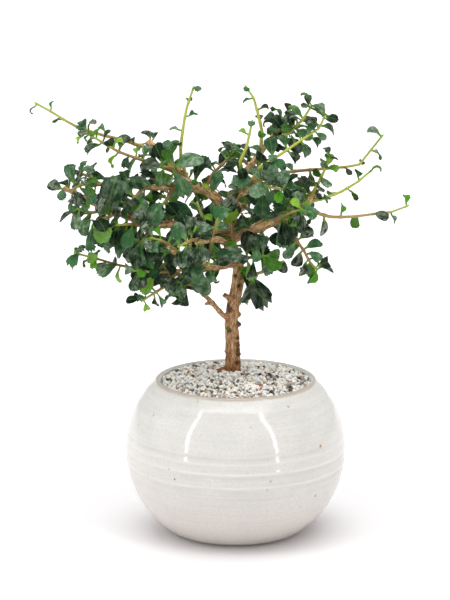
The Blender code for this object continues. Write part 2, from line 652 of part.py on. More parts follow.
def grow_leaf(bm, face, leaf):
    """Grow a leaf out of a stem face by extruding it through the leaf's cross sections."""
    for section in leaf_sections(leaf):
        face = bmesh.ops.extrude_discrete_faces(bm, faces=[face])["faces"][0]
        corners = [vertex.co.copy() for vertex in face.verts]
        centre = sum(corners, Vector()) / 4
        middle = sum(section, Vector()) / 4
        turn = (section[1] - section[0]).cross(section[3] - section[0])
        ordered = section if turn.dot(face.normal) > 0 else section[::-1]
        shift = max(range(4), key=lambda step: sum(
            (corners[index] - centre).normalized().dot((ordered[(index + step) % 4] - middle).normalized())
            for index in range(4)))
        for index, vertex in enumerate(face.verts):
            vertex.co = ordered[(index + shift) % 4]
        bm.normal_update()


def make_shoots(lines):
    """Every leafy shoot, each one closed body of a stem and its leaves."""
    wood = [tree_through(rings_along(*line, TRUNK_SIDES if name == "trunk" else LIMB_SIDES))
            for name, line in lines.items()]
    stems = {name: shoot_rings(shoot, lines) for name, shoot in SHOOTS.items()}
    stem_trees = {name: tree_through(rings) for name, (rings, _) in stems.items()}
    leaves = []
    for index, (name, shoot) in enumerate(SHOOTS.items()):
        rings, marks = stems[name]
        others = wood + [tree for other, tree in stem_trees.items() if other != name]
        placed = place_leaves(shoot, rings, marks, others, leaves, random.Random(FIRST_SEED + index))
        bm, segments = sweep(rings)
        for leaf in placed:
            grow_leaf(bm, segments[leaf.segment][leaf.side], leaf)
        add_object(name, bm, "leaf")


def main():
    """Build the whole plant."""
    for leftover in list(bpy.data.objects):
        bpy.data.objects.remove(leftover, do_unlink=True)
    make_pot()
    make_drainage_mesh()
    soil = make_soil()
    grit = make_grit()
    trunk_line = make_trunk(soil, grit)
    make_shoots(make_limbs(trunk_line))


main()
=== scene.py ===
"""Looks of a small-leaved bonsai in a round, wheel-thrown pot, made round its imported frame.

Sizes and routes are in millimetres, as in the part's own source, and are multiplied by MM where a mesh is
made. X runs to the right, Y to the back and Z up, and the origin is the middle of the pot's underside.
"""

import json
import logging
import math
import random
from collections.abc import Callable, Iterator, Sequence
from contextlib import contextmanager
from dataclasses import dataclass, field
from enum import Enum
from typing import Any, NamedTuple

import bpy
import numpy as np
from mathutils import Matrix, Vector, noise
from mathutils.bvhtree import BVHTree

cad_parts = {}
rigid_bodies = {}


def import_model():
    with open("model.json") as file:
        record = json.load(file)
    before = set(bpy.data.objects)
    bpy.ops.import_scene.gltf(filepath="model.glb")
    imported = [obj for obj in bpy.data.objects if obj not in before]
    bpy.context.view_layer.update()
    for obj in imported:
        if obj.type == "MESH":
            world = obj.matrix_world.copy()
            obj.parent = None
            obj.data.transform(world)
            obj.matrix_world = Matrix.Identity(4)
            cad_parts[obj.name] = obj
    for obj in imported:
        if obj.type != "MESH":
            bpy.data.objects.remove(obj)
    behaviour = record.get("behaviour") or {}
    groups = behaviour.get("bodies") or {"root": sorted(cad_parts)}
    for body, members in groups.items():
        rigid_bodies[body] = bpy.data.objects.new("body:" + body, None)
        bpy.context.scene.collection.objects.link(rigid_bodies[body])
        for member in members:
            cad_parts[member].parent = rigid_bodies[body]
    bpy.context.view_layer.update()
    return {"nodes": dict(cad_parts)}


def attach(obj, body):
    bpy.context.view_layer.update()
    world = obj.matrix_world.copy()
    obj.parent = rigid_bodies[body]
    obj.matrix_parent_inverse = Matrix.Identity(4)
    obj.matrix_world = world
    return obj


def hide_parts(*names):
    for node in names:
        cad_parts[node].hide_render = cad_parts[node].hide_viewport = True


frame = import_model()

MM = 0.001
FIT_GAP = 0.3                 # clearance between neighbouring pieces
LOG = logging.getLogger("bonsai")

Colour = tuple[float, float, float]      # linear red, green and blue
Triple = tuple[float, float, float]
Route = Sequence[Triple]
Ring = list[Vector]
Piece = bpy.types.Object


# ---- the plant's plan, as in the part's source

TRUNK_SIDES = 10
LIMB_SIDES = 8
STEM_SIDES = 4
WOOD_STEP = 8.0               # spacing of the rings along a trunk or limb
STEM_STEP = 11.0              # spacing of the rings along a shoot
LEAF_THICKNESS = 0.7
LEAF_WIDTH_RATIO = 0.68       # widest part over length
LEAF_TIP_RATIO = 0.6          # width at the tip over the widest part
PETIOLE_LENGTH = 2.2
PETIOLE_WIDTH = 0.9
LEAF_BASE = 1.5               # stretch of shoot that a leaf grows from
LEAF_CLEARANCE = 0.35
LEAF_TRIES = 24
SQUARE_START = 2.0            # stretch of a shoot that leaves its parent squarely
NODE_SLACK = 0.35             # spare spacings of leaf nodes at a shoot's foot
FIRST_NODE = 3.5              # nearest that leaves come to a shoot's foot
LAST_NODE = 2.2               # distance of the last leaves from a shoot's tip
RING_GAP = 2.5                # least distance of a plain ring from the rings of a leaf node
FIRST_SEED = 100
CROWN_CENTRE = Vector((-5, 5, 225))
LIGHT_SIDE = Vector((0.0, -0.75, 0.75))   # the side that the shoots' own leaves turn their faces to
FILL_SIDE = Vector((0.0, -0.5, 0.9))      # the same for the leaves that fill the crown
SHOOT_BASE_RADIUS = 1.2
SHOOT_TIP_RADIUS = 0.6

FILL_SEED = 900
FINE_STEP = 3.0               # spacing of points along wood where its bark is modelled
SPARSE_LIMBS = ("front_limb", "back_limb")   # limbs with fewer leaves of their own
SPARSE_SPACING = 1.3          # how much further apart those leaves, and a shoot's extra leaves, are
BARE_FOOT = {"low_limb": 34.0}      # limbs that stay leafless for longer from where they start
OPEN_SHARE = 0.7              # share of a limb that its leaves keep open to the front
OPEN_ODDS = 0.85              # how often a leaf that would hide it is turned away
SKIN = 0.9                    # share of a radius at which extra leaves are rooted


class SprayPlan(NamedTuple):
    """How a limb or stem is filled with leaves: where they start, how close, how many and how long."""

    start: float
    spacing: float
    cluster: tuple[int, ...]
    tries: int
    shortest: float
    longest: float
    lift: Vector


LIMB_SPRAY = SprayPlan(6.0, 6.6, (1, 2, 2), 24, 8.0, 22.0, Vector((0.0, -0.15, 0.25)))
TRUNK_SPRAY = SprayPlan(108.0, 6.0, (1, 1, 2), 24, 7.0, 15.0, Vector((0.0, -0.3, 0.2)))
SHOOT_SPRAY = SprayPlan(5.0, 9.0, (1, 2, 2), 20, 5.0, 12.0, Vector((0.0, 0.0, 0.15)))


class Limb(NamedTuple):
    """A bark-covered limb: its radii and its route, in millimetres."""

    base_radius: float
    tip_radius: float
    route: Route


class Shoot(NamedTuple):
    """A leafy shoot: its parent, route, number of leaf nodes, leaves at each and their lengths."""

    parent: str
    nodes: int
    leaves_per_node: int
    shortest: float
    longest: float
    route: Route


TRUNK_ROUTE = [(-2, 15, 84), (-2, 15, 98), (-2, 13, 127), (-3, 12, 146), (-1, 11, 159), (1, 10, 169),
               (2, 9, 181), (0, 8, 191), (-4, 7, 201), (-5, 6, 210), (-5, 6, 220)]
TRUNK_RADII = (6.0, 4.9, 3.9)     # at the soil, half way up and at the fork

ROOTS = [
    [(-2, 15, 107), (-9, 14, 108), (-15, 12, 104), (-28, 6, 90), (-34, 2, 76)],
    [(-2, 15, 100), (8, 18, 97), (22, 24, 88), (32, 28, 74)],
    [(-2, 15, 100), (-6, 25, 96), (-14, 36, 84), (-18, 40, 70)],
    [(-2, 15, 98), (3, 4, 95), (8, -12, 84), (10, -22, 70)],
    [(-2, 15, 90), (-2, 14, 76), (-4, 10, 56), (-2, 4, 40)],
]
ROOT_RADII = (3.2, 1.0)

LIMBS = {name: Limb(*row) for name, row in {
    "left_upper_limb": (3.4, 2.4, [(-5, 6, 219), (-13, 3, 231), (-21, 2, 238), (-31, 5, 241),
        (-41, 10, 250), (-51, 14, 259), (-60, 16, 269)]),
    "centre_right_limb": (3.0, 1.3, [(-4, 7, 218), (-1, 9, 226), (0, 9, 234), (5, 8, 246), (10, 8, 253),
        (18, 12, 263), (23, 13, 270), (29, 14, 277)]),
    "left_level_limb": (2.1, 1.3, [(-30, 5, 241), (-38, 0, 240), (-58, -8, 241), (-78, -14, 244),
        (-97, -18, 245)]),
    "left_middle_limb": (3.1, 1.4, [(-4, 7, 208), (-24, -6, 212), (-43, -14, 217), (-60, -18, 217),
        (-71, -20, 223), (-90, -24, 231), (-106, -26, 240), (-115, -27, 244)]),
    "front_left_limb": (2.5, 1.8, [(0, 8, 186), (-16, -14, 188), (-29, -30, 196), (-45, -46, 207)]),
    "low_limb": (2.3, 1.4, [(-3, 12, 146), (-9, 7, 150), (-18, -4, 163), (-31, -16, 177), (-40, -26, 187),
        (-49, -34, 194)]),
    "right_inner_limb": (2.7, 2.3, [(-3, 7, 233), (2, 2, 235), (8, -2, 239), (17, -8, 248)]),
    "right_limb": (3.1, 2.5, [(-4, 7, 202), (6, 0, 208), (18, -6, 214), (28, -8, 219), (40, -8, 224),
        (47, -6, 229), (52, -4, 237)]),
    "back_limb": (2.4, 1.4, [(-5, 6, 211), (-2, 25, 213), (2, 48, 214), (8, 70, 214)]),
    "front_limb": (2.3, 1.4, [(-4, 7, 198), (-11, -12, 206), (-19, -34, 210), (-26, -54, 212)]),
}.items()}

SHOOTS = {name: Shoot(*row) for name, row in {
    "far_left_shoot": ("left_upper_limb", 8, 1, 7, 12, [(-57, 15, 266), (-72, 12, 269), (-91, 4, 275),
        (-108, -3, 282), (-121, -8, 291), (-134, -12, 299)]),
    "far_left_low_shoot": ("left_upper_limb", 5, 2, 9, 16, [(-41, 10, 250), (-57, 2, 256), (-78, -8, 265),
        (-93, -14, 275), (-102, -16, 280)]),
    "top_left_shoot": ("left_upper_limb", 6, 1, 8, 14, [(-35, 8, 246), (-38, 9, 260), (-36, 8, 276),
        (-33, 6, 293), (-28, 4, 308)]),
    "upper_left_spur": ("left_upper_limb", 2, 3, 15, 24, [(-37, 8, 247), (-42, -3, 254),
        (-50, -11, 256)]),
    "level_tip_spur": ("left_level_limb", 2, 2, 10, 15, [(-94, -18, 245), (-98, -20, 251),
        (-104, -22, 253)]),
    "level_middle_spur": ("left_level_limb", 2, 3, 14, 22, [(-63, -10, 242), (-68, -18, 236),
        (-72, -26, 231)]),
    "level_inner_spur": ("left_level_limb", 2, 3, 14, 21, [(-43, -3, 241), (-47, -10, 233),
        (-51, -14, 227)]),
    "middle_tip_shoot": ("left_middle_limb", 3, 3, 12, 18, [(-109, -26, 241), (-105, -34, 247),
        (-98, -40, 250)]),
    "middle_low_shoot": ("left_middle_limb", 2, 3, 14, 20, [(-88, -23, 230), (-97, -30, 228),
        (-105, -36, 232)]),
    "middle_droop_shoot": ("left_middle_limb", 3, 2, 18, 27, [(-81, -22, 227), (-87, -33, 225),
        (-95, -42, 222)]),
    "middle_front_shoot": ("left_middle_limb", 3, 2, 14, 22, [(-62, -18, 218), (-69, -29, 220),
        (-80, -38, 221)]),
    "middle_hanging_spur": ("left_middle_limb", 2, 3, 18, 28, [(-56, -17, 217), (-59, -27, 212),
        (-63, -36, 209)]),
    "middle_back_shoot": ("left_middle_limb", 3, 2, 13, 19, [(-43, -14, 217), (-48, -4, 222),
        (-57, 6, 226), (-68, 14, 228)]),
    "lower_left_shoot": ("front_left_limb", 7, 2, 12, 20, [(-14, -11, 187), (-30, -15, 183),
        (-46, -18, 183), (-62, -20, 187), (-80, -22, 191), (-94, -25, 196), (-107, -28, 200)]),
    "lower_left_hanging_shoot": ("front_left_limb", 4, 2, 14, 20, [(-25, -25, 193), (-38, -32, 189),
        (-52, -38, 189), (-66, -42, 191)]),
    "lowest_left_shoot": ("low_limb", 3, 2, 10, 16, [(-40, -26, 187), (-46, -36, 180), (-54, -42, 176),
        (-63, -46, 171)]),
    "low_tip_shoot": ("low_limb", 3, 2, 14, 20, [(-46, -31, 192), (-53, -28, 193), (-62, -31, 190)]),
    "low_front_shoot": ("low_limb", 2, 3, 15, 22, [(-33, -18, 179), (-34, -32, 181), (-36, -44, 184)]),
    "front_left_tip_shoot": ("front_left_limb", 3, 2, 11, 16, [(-41, -42, 204), (-48, -42, 211),
        (-57, -46, 214)]),
    "front_left_top_spur": ("front_left_limb", 2, 3, 13, 19, [(-33, -33, 199), (-32, -36, 207),
        (-35, -38, 215)]),
    "front_tip_shoot": ("front_limb", 3, 2, 13, 18, [(-25, -51, 212), (-31, -64, 215), (-38, -76, 214)]),
    "front_low_shoot": ("front_limb", 3, 2, 14, 20, [(-17, -28, 209), (-18, -40, 201), (-18, -52, 196)]),
    "front_rising_shoot": ("front_limb", 3, 2, 12, 17, [(-19, -34, 210), (-14, -44, 220),
        (-12, -50, 230)]),
    "yellow_left_shoot": ("trunk", 4, 1, 9, 13, [(-5, 6, 213), (-13, -9, 218), (-20, -16, 220),
        (-24, -20, 226), (-26, -22, 234)]),
    "centre_left_shoot": ("left_upper_limb", 5, 2, 10, 16, [(-21, 2, 238), (-17, 10, 246), (-8, 16, 254),
        (0, 21, 261)]),
    "yellow_centre_shoot": ("centre_right_limb", 5, 1, 8, 12, [(6, 7, 248), (3, -4, 258), (7, -8, 268),
        (9, -8, 277), (11, -8, 287)]),
    "top_shoot": ("centre_right_limb", 5, 1, 8, 12, [(19, 12, 264), (18, 14, 275), (15, 12, 288),
        (12, 10, 299), (6, 8, 308)]),
    "right_top_shoot": ("centre_right_limb", 3, 3, 11, 15, [(27, 14, 275), (31, 17, 282), (38, 19, 288)]),
    "right_top_outer_shoot": ("centre_right_limb", 4, 3, 11, 15, [(24, 13, 271), (36, 6, 276),
        (45, 0, 286), (51, -2, 296)]),
    "centre_back_shoot": ("centre_right_limb", 4, 2, 12, 16, [(10, 8, 252), (4, 24, 256), (-4, 38, 261)]),
    "green_right_shoot": ("right_inner_limb", 6, 2, 11, 16, [(13, -5, 244), (17, -11, 256),
        (29, -14, 264), (44, -18, 275), (55, -20, 283), (59, -22, 292)]),
    "right_upper_shoot": ("right_inner_limb", 8, 1, 10, 16, [(15, -7, 246), (30, 2, 249), (46, 8, 250),
        (66, 12, 251), (84, 14, 253), (91, 14, 262), (100, 12, 274)]),
    "right_inner_front_shoot": ("right_inner_limb", 3, 3, 13, 18, [(12, -5, 243), (16, -22, 245),
        (23, -36, 246), (33, -46, 246)]),
    "right_long_shoot": ("right_limb", 6, 1, 9, 13, [(45, -7, 228), (54, -10, 224), (64, -8, 221),
        (80, -2, 220), (93, 2, 221), (106, 5, 222), (118, 8, 226)]),
    "right_middle_shoot": ("right_limb", 5, 1, 9, 14, [(49, -5, 232), (58, 4, 231), (71, 8, 235),
        (82, 10, 241), (93, 12, 250)]),
    "yellow_right_shoot": ("right_limb", 4, 2, 10, 15, [(51, -4, 236), (55, -8, 243), (59, -9, 252),
        (64, -9, 263)]),
    "right_front_shoot": ("right_limb", 4, 3, 13, 19, [(28, -8, 219), (32, -24, 225), (37, -38, 230),
        (43, -50, 234)]),
    "right_back_shoot": ("right_limb", 3, 3, 12, 18, [(35, -8, 222), (38, 10, 227), (44, 28, 231)]),
    "right_drop_shoot": ("right_limb", 5, 2, 12, 18, [(32, -8, 221), (36, -12, 213), (40, -14, 207),
        (46, -16, 199), (50, -18, 191), (55, -20, 187)]),
    "right_low_shoot": ("trunk", 4, 1, 14, 20, [(1, 10, 175), (11, 0, 179), (21, -8, 184), (27, -14, 188),
        (32, -18, 193)]),
    "front_right_shoot": ("trunk", 3, 3, 13, 19, [(1, 9, 187), (7, -8, 193), (12, -24, 196),
        (19, -36, 200)]),
    "back_left_shoot": ("left_upper_limb", 4, 3, 12, 18, [(-19, 2, 236), (-27, 24, 233), (-39, 46, 232),
        (-54, 66, 234)]),
    "back_tip_shoot": ("back_limb", 3, 3, 12, 18, [(7, 66, 214), (2, 80, 219), (10, 96, 223)]),
    "back_right_shoot": ("right_limb", 4, 3, 12, 18, [(7, -1, 208), (18, 22, 213), (34, 44, 219),
        (50, 62, 224)]),
    "back_rising_shoot": ("back_limb", 3, 3, 12, 18, [(0, 36, 213), (8, 43, 223), (16, 50, 233),
        (20, 54, 243)]),
}.items()}


class Line(NamedTuple):
    """The middle line of a piece of wood and the radius at each of its points, in millimetres."""

    points: list[Vector]
    radii: list[float]


class Leaf(NamedTuple):
    """One leaf: its foot, the ways it leaves the wood, points and faces, its length and its droop."""

    origin: Vector
    outward: Vector
    forward: Vector
    upper: Vector
    length: float
    droop: float

    @property
    def blade_foot(self) -> Vector:
        """Where the stalk ends and the blade starts."""
        return self.origin + (0.7 * self.outward + 0.5 * self.forward) * PETIOLE_LENGTH

    def sections(self, grow: float = 0.0) -> list[Ring]:
        """Corner points of the blade's cross sections, from its foot to its tip.

        Args:
            grow: how much wider and thicker than the leaf they are, per side.

        Returns:
            The corners of each section.
        """
        width = self.length * LEAF_WIDTH_RATIO
        plan = ((0.0, PETIOLE_WIDTH), (0.68, width), (1.0, width * LEAF_TIP_RATIO))
        place = self.blade_foot
        across = self.forward.cross(self.upper).normalized()
        sections = []
        before = 0.0
        for share, section_width in plan:
            bend = Matrix.Rotation(-self.droop * (share + before) / 2, 3, across)
            place = place + (bend @ self.forward) * (share - before) * self.length
            normal = Matrix.Rotation(-self.droop * share, 3, across) @ self.upper
            half_width = across * (section_width / 2 + grow)
            half_thickness = normal * (LEAF_THICKNESS / 2 + grow)
            sections.append([place - half_width - half_thickness, place - half_width + half_thickness,
                             place + half_width + half_thickness, place + half_width - half_thickness])
            before = share
        return sections

    def body(self, sections: list[Ring]) -> BVHTree:
        """Search tree of a blade's sections together with its stalk."""
        foot = [self.origin + (corner - sections[0][0]) * 0.4 for corner in sections[0]]
        return tree_through([foot, *sections])


def square_to(vector: Vector, direction: Vector) -> Vector:
    """The way nearest to a vector that is square to a direction."""
    return (vector - direction * vector.dot(direction)).normalized()


def middle_of(ring: Sequence[Vector]) -> Vector:
    """Middle of a ring of corner points."""
    return sum(ring, Vector()) / len(ring)


def jitter(generator: random.Random, reach: float) -> Vector:
    """Random step of up to a reach along each axis."""
    return Vector([generator.uniform(-reach, reach) for _ in range(3)])


def touches(tree: BVHTree, others: Sequence[BVHTree]) -> bool:
    """Whether a tree's faces cross those of any other."""
    return any(tree.overlap(other) for other in others)


def smooth_route(route: Route, step: float) -> list[Vector]:
    """Run a smooth curve through a route.

    Args:
        route: the points to pass through.
        step: the rough spacing of the points on the curve.

    Returns:
        Points along the curve.
    """
    knots = [Vector(point) for point in route]
    knots = [2 * knots[0] - knots[1], *knots, 2 * knots[-1] - knots[-2]]
    points = [knots[1]]
    for before, start, end, after in zip(knots, knots[1:], knots[2:], knots[3:]):
        count = max(1, round((end - start).length / step))
        for index in range(1, count + 1):
            t = index / count
            points.append(0.5 * (2 * start + (end - before) * t
                                 + (2 * before - 5 * start + 4 * end - after) * t ** 2
                                 + (3 * start - before - 3 * end + after) * t ** 3))
    return points


def lengths_along(points: Sequence[Vector]) -> list[float]:
    """Distance from the start to each point of a polyline."""
    total = [0.0]
    for start, end in zip(points, points[1:]):
        total.append(total[-1] + (end - start).length)
    return total


def point_at(points: Sequence[Vector], distance: float) -> Vector:
    """Point at a distance along a polyline."""
    total = lengths_along(points)
    index = max(place for place in range(len(points) - 1) if total[place] <= distance or place == 0)
    return points[index] + (points[index + 1] - points[index]).normalized() * (distance - total[index])


def taper(radii: Sequence[float], fraction: float) -> float:
    """Radius at a fraction of the way along evenly spaced radii."""
    place = fraction * (len(radii) - 1)
    index = min(int(place), len(radii) - 2)
    return radii[index] + (radii[index + 1] - radii[index]) * (place - index)


def rings_along(points: Sequence[Vector], radii: Sequence[float], sides: int,
                first_direction: Vector | None = None) -> list[Ring]:
    """Corner points of a tube's rings, turned as little as possible from one ring to the next.

    Args:
        points: the tube's middle line.
        radii: the radius at each point.
        sides: the corners of a ring.
        first_direction: the way that the first ring faces, where it isn't along the line.

    Returns:
        The corners of each ring.
    """
    directions = [(after - before).normalized()
                  for before, after in zip([points[0], *points[:-1]], [*points[1:], points[-1]])]
    if first_direction:
        directions[0] = first_direction
    across = directions[0].orthogonal().normalized()
    rings = []
    for point, radius, direction in zip(points, radii, directions):
        across = square_to(across, direction)
        other = direction.cross(across)
        angles = [2 * math.pi * side / sides for side in range(sides)]
        rings.append([point + radius * (math.cos(angle) * across + math.sin(angle) * other)
                      for angle in angles])
    return rings


def wood_line(route: Route, radii: Sequence[float], step: float = WOOD_STEP) -> Line:
    """Smooth line of a trunk, root or limb, with the radius at each of its points."""
    points = smooth_route(route, step)
    total = lengths_along(points)
    return Line(points, [taper(radii, distance / total[-1]) for distance in total])


def tree_through(rings: Sequence[Ring]) -> BVHTree:
    """Search tree of the closed tube through rings of corner points."""
    sides = len(rings[0])
    corners = [corner for ring in rings for corner in ring]
    faces = [tuple(range(sides)), tuple(range(len(corners) - sides, len(corners)))]
    for start in range(0, len(corners) - sides, sides):
        for side in range(sides):
            after = (side + 1) % sides
            faces.append((start + side, start + after, start + sides + after, start + sides + side))
    return BVHTree.FromPolygons(corners, faces)


def nearest_on_line(points: Sequence[Vector], target: Vector) -> tuple[int, Vector, Vector]:
    """Index of the nearest segment of a polyline to a point, the point on it and its direction."""
    best = None
    for index, (start, end) in enumerate(zip(points, points[1:])):
        along = end - start
        share = min(1.0, max(0.0, (target - start).dot(along) / along.length_squared))
        foot = start + along * share
        if best is None or (target - foot).length < best[0]:
            best = ((target - foot).length, index, foot, along.normalized())
    return best[1:]


class Layout:
    """Where every limb, shoot and leaf is, found in the same way as in the part's source."""

    def __init__(self) -> None:
        """Lay out the wood, then the stems, then the leaves shoot by shoot, then the extra leaves."""
        self.wood = {"trunk": wood_line(TRUNK_ROUTE, TRUNK_RADII)}
        for name, limb in LIMBS.items():
            self.wood[name] = wood_line(limb.route, (limb.base_radius, limb.tip_radius))
        self.stems = {name: self.shoot_rings(shoot) for name, shoot in SHOOTS.items()}
        self.wood_trees = [
            tree_through(rings_along(*line, TRUNK_SIDES if name == "trunk" else LIMB_SIDES))
            for name, line in self.wood.items()]
        self.stem_trees = {name: tree_through(rings) for name, (rings, _) in self.stems.items()}
        self.leaf_trees: list[BVHTree] = []
        self.open_wood = np.array([
            point for name, line in self.wood.items() if name not in SPARSE_LIMBS
            for point in smooth_route(line.points[:math.ceil(len(line.points) * OPEN_SHARE)], FINE_STEP)])
        self.leaves = {name: self.place_leaves(name, random.Random(FIRST_SEED + index))
                       for index, name in enumerate(SHOOTS)}
        self.sprays: dict[str, list[Leaf]] = {}
        for index, name in enumerate(LIMBS):
            plan = LIMB_SPRAY._replace(start=BARE_FOOT.get(name, LIMB_SPRAY.start))
            if name in SPARSE_LIMBS:
                plan = plan._replace(spacing=plan.spacing * SPARSE_SPACING)
            self.sprays[name] = self.spray(self.wood[name], plan, random.Random(FILL_SEED + index))
        self.sprays["trunk"] = self.spray(self.wood["trunk"], TRUNK_SPRAY, random.Random(FILL_SEED - 1))
        for index, name in enumerate(SHOOTS):
            self.sprays[name] = self.spray_shoot(name, random.Random(2 * FILL_SEED + index))

    def shoot_rings(self, shoot: Shoot) -> tuple[list[Ring], list[int | None]]:
        """Rings of a shoot that starts square on its parent's surface.

        Args:
            shoot: the shoot's plan.

        Returns:
            The rings, and after each ring the leaf node that follows it, or None.
        """
        parent_points, parent_radii = self.wood[shoot.parent]
        index, foot, along = nearest_on_line(parent_points, Vector(shoot.route[0]))
        leaving = square_to(Vector(shoot.route[1]) - foot, along)
        start = foot + leaving * (max(parent_radii[index:index + 2]) + FIT_GAP)
        points = smooth_route([start, start + leaving * SQUARE_START, *shoot.route[1:]], STEM_STEP)
        total = lengths_along(points)[-1]
        spacing = total / (shoot.nodes + NODE_SLACK)
        marks = {0.0: None, total: None}
        for node in range(shoot.nodes):
            distance = max(FIRST_NODE, total - LAST_NODE - spacing * (shoot.nodes - 1 - node))
            marks[distance - LEAF_BASE / 2] = node
            marks[distance + LEAF_BASE / 2] = None
        for distance in lengths_along(points)[1:-1]:
            if all(abs(distance - mark) > RING_GAP for mark in marks):
                marks[distance] = None
        ordered = sorted(marks)
        places = [point_at(points, distance) for distance in ordered]
        radii = [taper((SHOOT_BASE_RADIUS, SHOOT_TIP_RADIUS), distance / total) for distance in ordered]
        rings = rings_along(places, radii, STEM_SIDES, leaving)
        return rings, [marks[distance] for distance in ordered]

    @staticmethod
    def try_leaf(shoot: Shoot, node: int, turn: int, rings: list[Ring], segment: int, side: int,
                 generator: random.Random) -> Leaf:
        """A leaf that leaves one side of a stem segment, aimed outward and turned to the light.

        Args:
            shoot: the shoot's plan.
            node: the leaf node's number.
            turn: how many leaves were tried here before.
            rings: the stem's rings.
            segment: the stem segment that the leaf grows from.
            side: the side of that segment.
            generator: the shoot's random numbers.

        Returns:
            The leaf to try.
        """
        low, high = rings[segment], rings[segment + 1]
        after = (side + 1) % STEM_SIDES
        origin = (low[side] + low[after] + high[after] + high[side]) / 4
        outward = (origin - middle_of([*low, *high])).normalized()
        along = (middle_of(rings[-1]) - middle_of(rings[0])).normalized()
        share = node / max(1, shoot.nodes - 1)
        forward = (outward + along * (0.3 + 0.5 * share) + jitter(generator, 0.5)
                   + Vector((0, 0.15, 0.1))).normalized()
        upper = LIGHT_SIDE + (origin - CROWN_CENTRE).normalized() * 0.5 + jitter(generator, 0.5)
        length = (generator.uniform(shoot.shortest, shoot.longest)
                  * (1.0 - 0.35 * share) * (1.0 - 0.02 * turn))
        return Leaf(origin, outward, forward, square_to(upper, forward), length,
                    math.radians(generator.uniform(10, 60)))

    def place_leaves(self, name: str, generator: random.Random) -> list[Leaf]:
        """Leaves of one shoot that clear all other wood and stems and every leaf placed so far.

        Args:
            name: the shoot's name.
            generator: the shoot's random numbers.

        Returns:
            The leaves that found room.
        """
        shoot = SHOOTS[name]
        rings, marks = self.stems[name]
        stem = self.stem_trees[name]
        others = self.wood_trees + [tree for other, tree in self.stem_trees.items() if other != name]
        placed = []
        for node in range(shoot.nodes):
            if shoot.leaves_per_node == 1:
                sides = [(0, 2, 1, 3)[node % STEM_SIDES]]
            else:
                sides = [(2 * node + step) % STEM_SIDES for step in (0, 2, 1, 3)][:shoot.leaves_per_node]
            siblings = []
            for side in sides:
                for turn in range(LEAF_TRIES):
                    leaf = self.try_leaf(shoot, node, turn, rings, marks.index(node), side, generator)
                    guard, exact = leaf.sections(LEAF_CLEARANCE), leaf.sections()
                    if (touches(tree_through(guard), [stem, *[near for near, _ in siblings]])
                            or touches(leaf.body(guard), others + self.leaf_trees)):
                        continue
                    siblings.append((tree_through(exact), leaf.body(exact)))
                    placed.append(leaf)
                    break
            self.leaf_trees += [tree for _, tree in siblings]
        return placed

    def spray_shoot(self, name: str, generator: random.Random) -> list[Leaf]:
        """More leaves along a short shoot; long bare ones and those of the sparse limbs get none."""
        shoot = SHOOTS[name]
        if shoot.leaves_per_node == 1 or shoot.parent in SPARSE_LIMBS:
            return []
        rings = self.stems[name][0]
        centres = [middle_of(ring) for ring in rings]
        stem = Line(centres, [(ring[0] - centre).length for ring, centre in zip(rings, centres)])
        plan = SHOOT_SPRAY._replace(spacing=SHOOT_SPRAY.spacing * SPARSE_SPACING,
                                    shortest=shoot.shortest * 0.7, longest=shoot.longest * 1.05)
        return self.spray(stem, plan, generator)

    def spray(self, line: Line, plan: SprayPlan, generator: random.Random) -> list[Leaf]:
        """Fill a limb or stem with more leaves, each clear of all that is there already.

        Args:
            line: the limb's or stem's line.
            plan: how close and how long the leaves are.
            generator: the spray's random numbers.

        Returns:
            The leaves that found room.
        """
        total = lengths_along(line.points)[-1]
        parent = tree_through(rings_along(line.points, [radius * SKIN for radius in line.radii], 6))
        placed = []
        distance = plan.start
        while distance < total:
            distance += plan.spacing * generator.uniform(0.5, 1.5)
            for _ in range(generator.choice(plan.cluster)):
                for _ in range(plan.tries):
                    leaf = self.spray_leaf(line, min(distance, total - 0.5), plan, generator)
                    if self.hides_wood(leaf) and generator.random() < OPEN_ODDS:
                        continue
                    sections = leaf.sections()
                    near = [parent, *self.leaf_trees, *self.wood_trees, *self.stem_trees.values()]
                    if touches(tree_through(sections), near):
                        continue
                    self.leaf_trees.append(leaf.body(sections))
                    placed.append(leaf)
                    break
        return placed

    def hides_wood(self, leaf: Leaf) -> bool:
        """Whether a leaf would stand right in front of the open part of a limb."""
        middle = leaf.origin + leaf.forward * (PETIOLE_LENGTH + leaf.length * 0.55)
        right, back, up = (self.open_wood - np.array(middle)).T
        reach = leaf.length * 0.42
        return bool(((np.abs(right) < reach) & (np.abs(up) < reach) & (back > -3.0)).any())

    @staticmethod
    def spray_leaf(line: Line, distance: float, plan: SprayPlan, generator: random.Random) -> Leaf:
        """A leaf to try on a limb or stem, aimed outward and turned to the light.

        Args:
            line: the limb's or stem's line.
            distance: how far along it the leaf grows.
            plan: the way the leaves lean, and how long they are.
            generator: the spray's random numbers.

        Returns:
            The leaf to try.
        """
        place = point_at(line.points, distance)
        index, _, along = nearest_on_line(line.points, place)
        share = distance / lengths_along(line.points)[-1]
        around = Matrix.Rotation(generator.uniform(0, 2 * math.pi), 3, along)
        outward = around @ along.orthogonal().normalized()
        outward = square_to((outward + plan.lift).normalized(), along)
        origin = place + outward * (line.radii[index] * SKIN)
        forward = (outward + along * (0.3 + 0.4 * share) + jitter(generator, 0.6)).normalized()
        upper = FILL_SIDE + (origin - CROWN_CENTRE).normalized() * 0.5 + jitter(generator, 0.65)
        length = generator.triangular(plan.shortest, plan.longest, plan.shortest * 1.5)
        return Leaf(origin, outward, forward, square_to(upper, forward), length * (1.0 - 0.25 * share),
                    math.radians(generator.uniform(10, 70)))


# ---- shader nodes

def srgb(red: float, green: float, blue: float) -> Colour:
    """Linear colour of an everyday colour whose channels run from 0 to 255."""
    shares = (channel / 255 for channel in (red, green, blue))
    return tuple(share / 12.92 if share <= 0.04045 else ((share + 0.055) / 1.055) ** 2.4
                 for share in shares)


